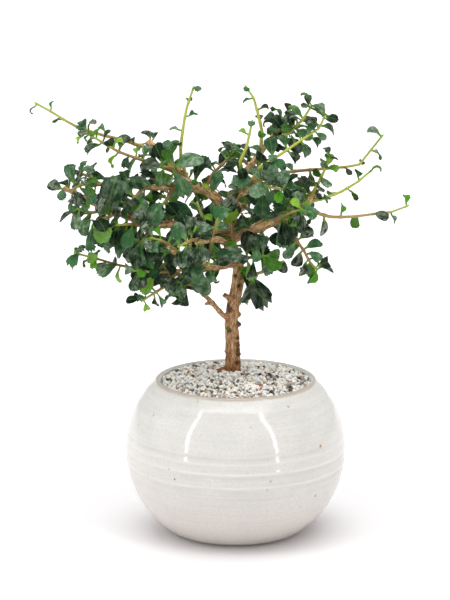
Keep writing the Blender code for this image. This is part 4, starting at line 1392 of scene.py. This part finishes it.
@dataclass
class GritBed:
    """Mound of crushed stone in the pot's mouth: a bumpy bed with loose chips all over it."""

    edge_height: float = 103.6
    crown_height: float = 108.5
    back_lift: float = 1.6
    base_height: float = 97.3
    side_gap: float = 0.6
    rings: int = 22
    segments: int = 96
    spacing: float = 1.9
    smallest: float = 1.0
    largest: float = 2.4
    darts: int = 9000
    seed: int = 41
    finish: StoneFinish = field(default_factory=StoneFinish)

    def surface(self, radius: float, edge: float) -> float:
        """Height of the mound at a radius."""
        share = min(1.0, radius / edge)
        return self.edge_height + (self.crown_height - self.edge_height) * (1 - share ** 1.6)

    def lift(self, back: float | np.ndarray, edge: float) -> float | np.ndarray:
        """How much higher the mound stands towards the back."""
        return self.back_lift * np.clip(back / edge + 0.2, 0.0, 1.0)

    def build_bed(self, pot: Pot) -> Piece:
        """Turn the bed, roughen its top and colour it a dark grey-brown, painted shade for the gaps between
        the chips.
        """
        edge = pot.inner(self.edge_height) - self.side_gap
        turning = Turning("grit_bed", pot.disc_radius, self.base_height, self.segments)
        turning.to(pot.inner(self.base_height) - self.side_gap, self.base_height)
        turning.to(edge, self.edge_height - 1.5)
        for index in range(self.rings):
            radius = edge * (1 - index / self.rings)
            turning.to(radius, self.surface(radius, edge) - 0.7)
        bed = turning.finish()
        points = Bench.points(bed) / MM
        top = points[:, 2] > self.edge_height - 1.2
        points[:, 2] += np.where(top, 0.5 * lump(5, points, 2.2) + self.lift(points[:, 1], edge), 0.0)
        Bench.move_points(bed, points * MM)
        Bench.smooth(bed, 60)
        # dark grey-brown bed: painted shade where it shows between the chips
        self.colour(bed, srgb(136, 128, 118))
        return bed

    @staticmethod
    def colour(piece: Piece, colour: Colour) -> None:
        """Give every point of a piece its stone colour."""
        Bench.mark(piece, "stone", np.tile((*colour, 1.0), (len(piece.data.vertices), 1)), "COLOR")

    def chip_shapes(self, generator: random.Random) -> list[Piece]:
        """A few chip shapes: rough balls with flat facets broken off."""
        shapes = []
        for _ in range(6):
            shapes.append(Bench.primitive("ico_sphere", subdivisions=1, radius=1.0, enter_editmode=True))
            for _ in range(5):
                normal = Vector([generator.gauss(0, 1) for _ in range(3)]).normalized()
                bpy.ops.mesh.select_all(action="SELECT")
                bpy.ops.mesh.bisect(plane_co=normal * generator.uniform(0.42, 0.72), plane_no=normal,
                                    use_fill=True, clear_outer=True)
            Bench.close_up()
            bpy.ops.object.mode_set(mode="OBJECT")
        return shapes

    def build(self, pot: Pot, trunk: Line) -> Piece:
        """The bed and its chips as one piece."""
        grit = Bench.join([self.build_bed(pot), *self.scatter(pot, trunk)], "grit_chips")
        self.dress(grit)
        return grit

    def scatter(self, pot: Pot, trunk: Line) -> list[Piece]:
        """Strew chips over the bed, clear of the trunk.

        Args:
            pot: the pot that holds the grit.
            trunk: the trunk's line, to keep clear of.

        Returns:
            The chips.
        """
        generator = random.Random(self.seed)
        shapes = self.chip_shapes(generator)
        edge = pot.inner(self.edge_height) - self.side_gap
        trunk_place = Vector(trunk.points[2][:2])
        cells: dict[tuple[int, int], list[Vector]] = {}
        colours = [stone.value[0] for stone in Stone]
        weights = [stone.value[1] for stone in Stone]
        chips = []
        for _ in range(self.darts):
            radius = (edge - 0.6) * math.sqrt(generator.random())
            angle = generator.uniform(0, 2 * math.pi)
            spot = Vector((radius * math.cos(angle), radius * math.sin(angle)))
            key = (int(spot.x // self.spacing), int(spot.y // self.spacing))
            near = [other for dx in (-1, 0, 1) for dy in (-1, 0, 1)
                    for other in cells.get((key[0] + dx, key[1] + dy), [])]
            if any((other - spot).length < self.spacing for other in near):
                continue
            if (spot - trunk_place).length < trunk.radii[2] + 0.6:
                continue
            cells.setdefault(key, []).append(spot)
            size = generator.uniform(self.smallest, self.largest)
            if radius + size > edge:
                size = max(0.7, edge - radius)
            height = self.surface(radius, edge) + self.lift(spot.y, edge) + generator.uniform(-0.8, 0.25)
            spot *= 1 - 0.006 * self.lift(spot.y, edge)
            turn = Matrix.Rotation(generator.uniform(0, 6.28), 3, "X")
            turn = Matrix.Rotation(generator.uniform(0, 6.28), 3, "Z") @ turn
            stretch = Matrix.Diagonal((1.0, generator.uniform(0.65, 1.0), generator.uniform(0.5, 0.85)))
            chip = Bench.copy(generator.choice(shapes))
            frame_points = Bench.points(chip) @ np.array((turn @ stretch * size).transposed())
            Bench.move_points(chip, (frame_points + np.array((spot.x, spot.y, height))) * MM)
            tint = generator.uniform(0.86, 1.1)
            colour = generator.choices(colours, weights)[0]
            self.colour(chip, tuple(min(1.0, channel * tint) for channel in colour))
            chips.append(chip)
        for shape in shapes:
            bpy.data.objects.remove(shape, do_unlink=True)
        return chips

    def dress(self, grit: Piece) -> None:
        """Give the grit its stone finish and put it in the frame."""
        Bench.finish(grit, self.finish.material())
        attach(grit, "root")
        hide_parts("stone_grit")


# ---- wood

class Knob(NamedTuple):
    """A knob or scar on the wood: its middle and radius, and whether it is dark."""

    place: Triple
    radius: float
    dark: bool


@dataclass
class Woodwork:
    """Trunk, roots and limbs as one piece of wood: swept tubes fused together, then carved with bark."""

    layout: Layout
    voxel: float = 0.6
    flare: float = 0.32
    flare_reach: float = 7.0
    fullness: float = 1.12
    slender: dict[str, float] = field(default_factory=lambda: {"low_limb": 0.82})
    trunk_radii: tuple[float, ...] = (5.8, 4.4, 3.5)
    foot_swell: float = 0.12      # how much thicker the trunk is where it leaves the grit
    foot_height: float = 104.0
    foot_reach: float = 11.0
    cut_limbs: tuple[str, ...] = ("left_upper_limb", "left_middle_limb", "front_left_limb",
                                  "right_inner_limb", "right_limb")
    stubs: tuple[tuple[Route, float, float], ...] = (
        (((-2, 11, 157), (-5, 10, 161), (-8.2, 9.5, 163.8)), 1.9, 1.5),
        (((-16, -3, 160), (-18.5, -4.5, 160.5), (-21.2, -5.5, 160.2)), 1.4, 1.1),
        (((-15.5, 3, 234), (-16.4, 1, 237), (-17.6, -0.6, 240)), 1.6, 1.3),
    )
    knobs: tuple[Knob, ...] = tuple(Knob(*row) for row in (
        ((2.3, 10.8, 142.2), 1.9, True), ((1.6, 10.2, 149.2), 2.2, False),
        ((-4.2, 8.1, 138.6), 1.6, True), ((1.3, 8.7, 133.0), 1.3, True), ((1.9, 9.6, 128.4), 1.4, True),
        ((1.6, 9.2, 124.4), 1.6, True), ((2.2, 10.2, 121.4), 1.7, True), ((1.2, 9.2, 115.5), 1.4, True),
        ((-0.5, 6.0, 177.4), 1.3, True), ((1.9, 5.9, 170.4), 1.2, True), ((-4.2, 7.9, 153.2), 1.9, True),
        ((-4.9, 8.8, 156.0), 1.3, True), ((-3.0, 17.4, 134.0), 2.0, False),
        ((-6.2, 15.0, 122.0), 1.5, True), ((2.0, 15.4, 156.0), 1.7, False),
        ((-4.6, 8.6, 146.0), 1.2, False), ((-1.0, 9.0, 111.0), 1.5, False),
        ((3.4, 9.0, 160.5), 1.3, False)))
    finish: BarkFinish = field(default_factory=BarkFinish)

    def tubes(self) -> list[Piece]:
        """Tubes for the trunk, the roots, the limbs and the broken stubs."""
        made = []
        for name, limb in LIMBS.items():
            points, radii = wood_line(limb.route, (limb.base_radius, limb.tip_radius), FINE_STEP)
            radii = [radius * self.slender.get(name, self.fullness)
                     * (1 + self.flare * max(0.0, 1 - distance / self.flare_reach) ** 1.5)
                     for radius, distance in zip(radii, lengths_along(points))]
            made.append(Bench.tube(f"{name}_core", points, radii, 4))
        points, radii = wood_line(TRUNK_ROUTE, self.trunk_radii, FINE_STEP)
        radii = [radius * (1 + self.foot_swell
                           * max(0.0, 1 - abs(point.z - self.foot_height) / self.foot_reach) ** 1.5)
                 for radius, point in zip(radii, points)]
        made.append(Bench.tube("trunk_core", points, radii, 6))
        rough = [("root_core", route, ROOT_RADII, 4.0) for route in ROOTS]
        rough += [("stub_core", route, radii, 2.0) for route, *radii in self.stubs]
        for name, route, radii, step in rough:
            made.append(Bench.tube(name, *wood_line(route, radii, step), 3))
        for knob in self.knobs:
            made.append(Bench.primitive("ico_sphere", subdivisions=2, radius=knob.radius * MM,
                                        enter_editmode=True))
            bpy.ops.transform.translate(value=Vector(knob.place) * MM)
            bpy.ops.object.mode_set(mode="OBJECT")
        return made

    def build(self) -> Piece:
        """Fuse the tubes, find each point's place along its limb, and carve and finish the bark."""
        wood = Bench.join(self.tubes(), "trunk_and_limbs")
        Bench.apply(wood, "REMESH", mode="VOXEL", voxel_size=self.voxel * MM)
        Bench.apply(wood, "SMOOTH", factor=0.5, iterations=3)
        points = Bench.points(wood) / MM
        grain, radius, to_end, along_way = self.grain(points)
        normals = Bench.read(wood.data.vertex_normals, "vector")
        fibre_space = grain * np.array((1.0, 1.0, 0.16))
        old = np.clip((radius - 1.6) / 2.4, 0.15, 1.0)
        ridges = 1 - np.abs(lump(6, fibre_space, 0.95)) * 2
        shift = 0.20 * old * ridges + 0.32 * old * lump(7, points, 4.5) + 0.14 * lump(8, points, 1.7)
        nodes = np.maximum(0, np.sin(grain[:, 2] * 2 * math.pi / 11 + 2.5 * lump(9, points, 30))) ** 8
        shift += 0.28 * nodes * (radius < 3.2)
        scars = self.scars(points)
        shift -= 0.35 * scars * (lump(10, points, 1.1) > -0.1)
        facing = np.einsum("ij,ij->i", normals, along_way)
        cut = np.clip((facing - 0.45) / 0.3, 0, 1) * (to_end < 1.2)
        shift *= 1 - cut
        Bench.move_points(wood, (points + normals * shift[:, None]) * MM)
        Bench.mark(wood, "grain", grain)
        young = np.clip((2.0 - radius) / 0.8, 0, 1) * 0.6
        dark = np.clip(scars + 0.25 * nodes * (radius < 3.2), 0, 1) * (1 - cut)
        Bench.mark(wood, "wear", np.column_stack([cut, dark, young]))
        Bench.smooth(wood, 70)
        self.dress(wood)
        return wood

    def scars(self, points: np.ndarray) -> np.ndarray:
        """How deep in a dark scar each point is, from 0 to 1."""
        depth = np.zeros(len(points))
        for knob in self.knobs:
            if knob.dark:
                away = np.linalg.norm(points - np.array(knob.place), axis=1)
                depth = np.maximum(depth, np.clip(1.7 - away / (knob.radius * 0.95), 0, 1))
        for route, _, tip in self.stubs:
            away = np.linalg.norm(points - np.array(route[-1]), axis=1)
            depth = np.maximum(depth, np.clip(1.2 - away / (tip * 1.2), 0, 1) * 0.8)
        return np.clip(depth, 0, 1)

    def grain(self, points: np.ndarray) -> tuple[np.ndarray, np.ndarray, np.ndarray, np.ndarray]:
        """Find the nearest limb to each point, and the point's place on it.

        Args:
            points: places on the wood, in millimetres.

        Returns:
            The place across and along the limb, the limb's radius there, the distance to the limb's
            cut end (large where it isn't cut), and the limb's direction.
        """
        count = len(points)
        nearest = np.full(count, np.inf)
        grain = np.zeros((count, 3))
        radius = np.ones(count)
        to_end = np.full(count, 99.0)
        way = np.zeros((count, 3))
        for name, line in self.layout.wood.items():
            total = lengths_along(line.points)
            across = (line.points[1] - line.points[0]).orthogonal().normalized()
            for index, (start, end) in enumerate(zip(line.points, line.points[1:])):
                direction = (end - start).normalized()
                across = square_to(across, direction)
                other = direction.cross(across)
                length = (end - start).length
                offset = points - np.array(start)
                share = np.clip(offset @ np.array(direction) / length, 0, 1)
                off_axis = offset - share[:, None] * length * np.array(direction)
                here = line.radii[index] + (line.radii[index + 1] - line.radii[index]) * share
                away = np.linalg.norm(off_axis, axis=1) - here
                closer = away < nearest
                nearest = np.where(closer, away, nearest)
                place = np.column_stack([off_axis @ np.array(across), off_axis @ np.array(other),
                                         total[index] + share * length])
                grain[closer] = place[closer]
                radius[closer] = here[closer]
                way[closer] = np.array(direction)
                left = total[-1] - total[index] - share * length
                to_end[closer] = left[closer] if name in self.cut_limbs else 99.0
        return grain, radius, to_end, way

    def dress(self, wood: Piece) -> None:
        """Give the wood its bark and put it in the frame."""
        Bench.finish(wood, self.finish.material())
        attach(wood, "root")
        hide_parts("trunk", *LIMBS)


# ---- foliage

class LeafForm(Enum):
    """Outlines of the leaves: the width at each row from foot to tip, and the reach of the tip's teeth."""

    SPOON = ((0.17, 0.46, 0.84, 1.0, 0.90, 0.60), (-0.07, 0.01, -0.05, 0.04, -0.05, 0.01, -0.07))
    ROUND = ((0.20, 0.68, 1.02, 1.04, 0.84, 0.48), (-0.10, -0.02, -0.03, 0.02, -0.03, -0.02, -0.10))
    WEDGE = ((0.15, 0.34, 0.66, 0.95, 1.0, 0.78), (-0.10, 0.03, -0.08, 0.07, -0.08, 0.03, -0.10))


class LooseLeaf(NamedTuple):
    """A leaf with a place of its own: its foot, the way it points, the way it faces and its size."""

    foot: Triple
    way: Triple
    face: Triple
    length: float
    droop: float
    form: str
    age: float


@dataclass
class Foliage:
    """Leafy shoots: a tapering stem with swollen nodes, and leaves that leave it on short stalks."""

    layout: Layout
    rows: tuple[float, ...] = (0.0, 0.22, 0.46, 0.70, 0.88, 1.0)
    columns: int = 6
    small_leaf: float = 11.0      # leaves shorter than this curl more
    # leaves under a length are fresh this often, and then of an age from the least to the most
    fresh_odds: tuple[tuple[float, float, float, float], ...] = (
        (9.5, 0.32, 0.45, 1.0), (15.0, 0.08, 0.25, 0.55), (math.inf, 0.02, 0.25, 0.55))
    thickness: float = 0.42
    stalk_width: float = 0.42
    lime_shoots: tuple[str, ...] = (
        "top_left_shoot", "yellow_left_shoot", "yellow_centre_shoot", "top_shoot", "yellow_right_shoot",
        "green_right_shoot", "right_top_outer_shoot", "right_middle_shoot")
    round_shoots: tuple[str, ...] = (
        "right_top_shoot", "right_top_outer_shoot", "green_right_shoot", "right_upper_shoot",
        "right_middle_shoot", "right_drop_shoot", "yellow_right_shoot", "centre_back_shoot",
        "right_long_shoot", "top_shoot", "yellow_centre_shoot")
    loose_leaves: tuple[LooseLeaf, ...] = tuple(LooseLeaf(*row) for row in (
        ((2.2, 4.8, 183.0), (0.62, -0.2, -0.77), (0.25, -0.85, 0.45), 30.0, -0.35, "WEDGE", 0.0),
        ((2.6, 3.5, 180.5), (0.5, -0.7, 0.5), (0.0, -0.6, 0.8), 10.0, 0.8, "ROUND", 1.0),
        ((-61.5, -21.0, 218.5), (-0.32, -0.36, -0.88), (-0.2, -0.9, 0.35), 28.0, 0.25, "WEDGE", 0.0),
        ((-63.0, -21.0, 219.5), (-0.85, -0.4, -0.35), (-0.2, -0.8, 0.6), 19.0, 0.7, "SPOON", 0.15),
        ((-7.0, 1.0, 213.0), (0.35, -0.6, 0.75), (-0.3, -0.7, -0.6), 13.0, 0.9, "SPOON", 0.9),
        ((-4.0, 0.5, 205.0), (-0.75, -0.6, 0.1), (0.0, -0.5, 0.85), 18.0, 0.6, "ROUND", 0.0),
        ((1.0, 3.0, 199.0), (0.75, -0.65, 0.1), (0.0, -0.5, 0.85), 19.0, 0.5, "SPOON", 0.0),
        ((2.2, 8.4, 158.4), (0.95, -0.3, 0.1), (0.0, -0.7, 0.7), 5.0, 0.6, "SPOON", 1.0),
        ((-4.6, 7.9, 138.8), (-0.2, -0.7, 0.5), (0.0, -0.7, 0.7), 2.4, 0.6, "SPOON", 1.0),
        ((-16.6, 0.0, 238.0), (-0.5, -0.6, 0.6), (0.0, -0.7, 0.7), 4.5, 0.6, "SPOON", 1.0)))
    seed: int = 500
    leaf_finish: LeafFinish = field(default_factory=LeafFinish)
    stem_finish: StemFinish = field(default_factory=StemFinish)

    def __post_init__(self) -> None:
        """Make the finishes and one flat blade of each form, which every leaf is a copy of."""
        self.leaf_material = self.leaf_finish.material()
        self.stem_material = self.stem_finish.material()
        self.blades = {form: self.flat_blade(form) for form in LeafForm}

    def flat_blade(self, form: LeafForm) -> Piece:
        """A flat blade, 2 wide, 1 long and 1 thick, with a row behind it for its stalk.

        Args:
            form: the leaf's outline.

        Returns:
            The blade, with its place across, along and through as an attribute.
        """
        profile, teeth = form.value
        blade = Bench.primitive("grid", x_subdivisions=self.columns, y_subdivisions=len(self.rows), size=2)
        blade.name = f"{form.name.lower()}_blade"
        points = Bench.points(blade)
        row = np.rint((points[:, 1] + 1) / 2 * len(self.rows)).astype(int)
        column = np.rint((points[:, 0] + 1) / 2 * self.columns).astype(int)
        places = np.array((-0.15, *self.rows))
        widths = np.array((1.0, *profile))
        points[:, 1] = places[row] + np.where(row == len(self.rows), np.array(teeth)[column], 0.0)
        points[:, 0] *= widths[row]
        points[:, 2] = 0.0
        Bench.move_points(blade, points)
        Bench.apply(blade, "SOLIDIFY", thickness=1.0, offset=1.0)
        blade.data.materials.append(self.leaf_material)
        Bench.mark(blade, "blade", Bench.points(blade))
        Bench.smooth(blade, 60)
        blade.hide_render = True
        return blade

    def lay_blade(self, leaf: Leaf, form: LeafForm, age: float, generator: random.Random) -> Piece:
        """A copy of a flat blade, bent along a leaf's arc, cupped, twisted and waved.

        Args:
            leaf: where the leaf grows, the way it points and its size.
            form: its outline.
            age: 0 for a mature leaf, 1 for a fresh one.
            generator: the shoot's random numbers.

        Returns:
            The leaf.
        """
        piece = Bench.copy(self.blades[form])
        across, along, layer = Bench.points(piece).T
        stalk = along < -0.1
        width = leaf.length * LEAF_WIDTH_RATIO / 2 * generator.uniform(0.86, 1.02)
        curl = generator.uniform(0.2, 1.15)
        if leaf.length < self.small_leaf:
            curl += generator.uniform(0.3, 1.7)
        fold = generator.uniform(0.08, 0.5) + 0.15 * age
        cup = generator.uniform(0.1, 0.4)
        wave = generator.uniform(0.0, 0.14)
        phase = generator.uniform(0, 6.28)
        twist = generator.uniform(-0.45, 0.45)
        ahead, up = np.array(leaf.forward), np.array(leaf.upper)
        side = np.cross(ahead, up)
        samples = np.linspace(0, 1.12, 29)
        bend = leaf.droop * samples + curl * samples ** 2.4
        steps = (np.cos(bend)[:, None] * ahead - np.sin(bend)[:, None] * up) * (samples[1] - samples[0])
        arc = np.vstack([np.zeros(3), np.cumsum((steps[1:] + steps[:-1]) / 2, axis=0)]) * leaf.length
        start = np.array(leaf.blade_foot)
        at = np.clip(along, 0, 1.12)
        middle = np.column_stack([np.interp(at, samples, arc[:, axis]) for axis in range(3)]) + start
        angle = np.interp(at, samples, bend)
        ahead_here = np.cos(angle)[:, None] * ahead - np.sin(angle)[:, None] * up
        up_here = np.cos(angle)[:, None] * up + np.sin(angle)[:, None] * ahead
        turn = twist * at
        side_here = np.cos(turn)[:, None] * side + np.sin(turn)[:, None] * up_here
        up_here = np.cross(side_here, ahead_here)
        lift = width * (fold * np.abs(across) - cup * across ** 2 * (0.3 + at)
                        + wave * np.sin(9 * at + phase) * across)
        thick = np.clip(0.95 - 3.0 * at, self.thickness, 0.95)
        half = np.maximum(width, 0.1) * across
        points = middle + side_here * half[:, None] + up_here * (lift + (layer - 0.5) * thick)[:, None]
        foot = np.array(leaf.origin - leaf.outward * 0.5)
        stalk_points = (foot + side * (across * self.stalk_width)[:, None]
                        + up * ((layer - 0.5) * 0.9)[:, None])
        points[stalk] = stalk_points[stalk]
        Bench.move_points(piece, points * MM)
        facts = np.tile((age, generator.random(), generator.random()), (len(points), 1))
        Bench.mark(piece, "growth", facts)
        return piece

    def stem(self, name: str, generator: random.Random) -> Piece:
        """The stem of a shoot, rooted in its parent, with a swelling at each node."""
        rings, marks = self.layout.stems[name]
        centres = [middle_of(ring) for ring in rings]
        nodes = [(first + second) / 2 for first, second, mark in zip(centres, centres[1:], marks)
                 if mark is not None]
        inward = (centres[0] - centres[1]).normalized()
        centres = [centres[0] + inward * 1.3, *centres]
        points = smooth_route(centres, 1.6)
        total = lengths_along(points)
        radii = []
        for point, distance in zip(points, total):
            radius = taper((SHOOT_BASE_RADIUS, SHOOT_TIP_RADIUS), distance / total[-1]) * 1.1
            radius += 0.9 * max(0.0, 1 - distance / 3.5) ** 2
            swell = max(math.exp(-((point - node).length / 0.9) ** 2) for node in nodes)
            radii.append(radius + 0.32 * swell)
        radii[-1] *= 0.5
        piece = Bench.tube(f"{name}_stem", points, radii, 2)
        piece.data.materials.append(self.stem_material)
        wood = np.zeros(len(piece.data.vertices))
        for index, vertex in enumerate(piece.data.vertices):
            place = min(range(len(points)), key=lambda at: (points[at] * MM - vertex.co).length_squared)
            wood[index] = total[place] / total[-1]
        green = 0.95 if name in self.lime_shoots else generator.uniform(0.1, 0.35)
        facts = np.column_stack([wood, np.full(len(wood), green), np.full(len(wood), generator.random())])
        Bench.mark(piece, "growth", facts)
        Bench.mark(piece, "blade", np.zeros((len(wood), 3)))
        Bench.smooth(piece, 60)
        return piece

    def grow(self, name: str, leaves: Sequence[Leaf], generator: random.Random) -> list[Piece]:
        """The leaves of one shoot or limb; small ones are often fresh.

        Args:
            name: the shoot's or limb's name.
            leaves: where its leaves are.
            generator: its random numbers.

        Returns:
            The leaves as separate objects.
        """
        grown = []
        for leaf in leaves:
            _, odds, *ages = next(row for row in self.fresh_odds if leaf.length < row[0])
            age = generator.uniform(*ages) if generator.random() < odds else 0.0
            if name in self.round_shoots:
                form = LeafForm.ROUND
            else:
                form = generator.choice((LeafForm.SPOON, LeafForm.WEDGE, LeafForm.ROUND))
            grown.append(self.lay_blade(leaf, form, age, generator))
        return grown

    def build(self) -> list[Piece]:
        """Every shoot, then the leaves that grow straight from each limb, then the loose leaves."""
        built = []
        for index, name in enumerate(SHOOTS):
            generator = random.Random(self.seed + index)
            leaves = self.layout.leaves[name] + self.layout.sprays[name]
            built.append(Bench.join([self.stem(name, generator), *self.grow(name, leaves, generator)],
                                    f"{name}_foliage"))
            self.dress(built[-1], name)
        for index, name in enumerate([*LIMBS, "trunk"]):
            generator = random.Random(2 * self.seed + index)
            built.append(Bench.join(self.grow(name, self.layout.sprays[name], generator), f"{name}_leaves"))
            self.dress(built[-1])
        built.append(self.build_loose_leaves())
        self.dress(built[-1])
        for blade in self.blades.values():
            bpy.data.objects.remove(blade, do_unlink=True)
        return built

    def dress(self, foliage: Piece, *nodes: str) -> None:
        """Put leaves in the frame, in place of a shoot's CAD node where they have one."""
        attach(foliage, "root")
        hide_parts(*nodes)

    def build_loose_leaves(self) -> Piece:
        """The leaves and sprouts that break straight from the old wood, as one piece."""
        generator = random.Random(self.seed - 1)
        grown = []
        for plan in self.loose_leaves:
            forward = Vector(plan.way).normalized()
            leaf = Leaf(Vector(plan.foot), forward, forward, square_to(Vector(plan.face), forward),
                        plan.length, plan.droop)
            grown.append(self.lay_blade(leaf, LeafForm[plan.form], plan.age, generator))
        return Bench.join(grown, "loose_leaves")


# ---- studio

class Softbox(NamedTuple):
    """A rectangular studio light: its place, the way its height runs, its width, height and power."""

    name: str
    place: Triple
    up: Triple
    width: float
    height: float
    power: float


@dataclass
class Studio:
    """Pale floor, soft light from above, two strip lights in front and the camera."""

    camera_place: Triple = (-0.0073, -1.5483, 0.5093)
    camera_tilt: float = math.radians(90 - 12.65)
    camera_view: float = 2 * math.atan(300 / 2326)
    floor_size: float = 12.0
    front_air: tuple[tuple[float, Colour], ...] = (
        (0.0, (0.72, 0.72, 0.72)), (0.53, (0.72, 0.72, 0.72)), (0.58, (0.26, 0.26, 0.26)),
        (0.84, (0.24, 0.24, 0.25)), (0.92, (0.5, 0.5, 0.5)), (1.0, (0.7, 0.7, 0.7)))
    back_air: Colour = (0.72, 0.72, 0.72)
    air_power: float = 1.0
    boxes: tuple[Softbox, ...] = (
        Softbox("top_softbox", (0.0, 0.1, 1.6), (0.0, 1.0, 0.0), 1.7, 1.3, 12.5),
        Softbox("front_softbox", (0.01, -0.45, 1.27), (0.0, 1.0, 0.0), 1.3, 0.34, 4.0),
        Softbox("left_strip", (-0.81, -0.60, 0.595), (0.36, 0.437, 1.151), 0.08, 1.28, 3.6),
        Softbox("right_strip", (0.67, -0.749, 0.598), (-0.38, 0.402, 1.156), 0.08, 1.28, 3.6),
        Softbox("left_window", (-1.6, -0.1, 0.6), (0.0, 0.0, 1.0), 0.9, 1.0, 2.6),
    )
    aim: Triple = (0.0, 0.0, 0.1)

    def build(self) -> None:
        """Lay the floor, light the room and set up the camera."""
        floor = Bench.primitive("plane", size=self.floor_size, enter_editmode=True)
        bpy.ops.mesh.subdivide(number_cuts=3)
        bpy.ops.object.mode_set(mode="OBJECT")
        floor.name = "studio_floor"
        Bench.finish(floor, FloorFinish().material())
        world = bpy.data.worlds.new("studio_air")
        world.use_nodes = True
        self.fill_air(world.node_tree)
        bpy.context.scene.world = world
        bpy.context.scene.view_settings.view_transform = "Standard"
        for box in self.boxes:
            self.hang(box)
        data = bpy.data.cameras.new("camera")
        data.sensor_fit = "VERTICAL"
        data.angle_y = self.camera_view
        camera = bpy.data.objects.new("camera", data)
        camera.location = self.camera_place
        camera.rotation_euler = (self.camera_tilt, 0.0, 0.0)
        bpy.context.scene.collection.objects.link(camera)
        bpy.context.scene.camera = camera

    def fill_air(self, tree: bpy.types.NodeTree) -> None:
        """Make the air bright behind the plant and overhead, and dimmer in front."""
        air = Nodes(tree)
        _, back, up = air.add("TexCoord", output="Generated").parts()
        front = air.ramp(air.add("MapRange", inputs={"Value": up, "From Min": -1.0}), self.front_air)
        background = tree.nodes["Background"]
        background.inputs["Strength"].default_value = self.air_power
        air.feed(background.inputs["Color"], front.toward(self.back_air, back.step(-0.35, 0.3)))

    def hang(self, box: Softbox) -> None:
        """Hang one light and aim it at the pot."""
        data = bpy.data.lights.new(box.name, "AREA")
        data.shape = "RECTANGLE"
        data.size = box.width
        data.size_y = box.height
        data.energy = box.power
        light = bpy.data.objects.new(box.name, data)
        away = (Vector(box.place) - Vector(self.aim)).normalized()
        side = Vector(box.up).cross(away).normalized()
        turn = Matrix((side, away.cross(side), away)).transposed()
        light.matrix_world = Matrix.Translation(box.place) @ turn.to_4x4()
        light.visible_camera = False
        bpy.context.scene.collection.objects.link(light)


# ---- the whole plant

def dress_hidden_nodes() -> None:
    """Give the CAD nodes that stay, deep in the pot, their procedural finishes."""
    for node, finish in (("drainage_mesh", MeshFinish()), ("soil", SoilFinish())):
        material = finish.material()
        for place in frame["nodes"][node].material_slots:
            place.material = material
        LOG.info("%s: finish %s", node, material.name)


def main() -> None:
    """Build the studio, the pot and the plant in order."""
    logging.basicConfig(level=logging.INFO, format="%(message)s")
    Studio().build()
    dress_hidden_nodes()
    layout = Layout()
    pot = Pot()
    for piece in (pot.build(), Woodwork(layout).build(), GritBed().build(pot, layout.wood["trunk"]),
                  *Foliage(layout).build()):
        LOG.info("%s: %d faces", piece.name, len(piece.data.polygons))


if __name__ == "__main__":
    main()
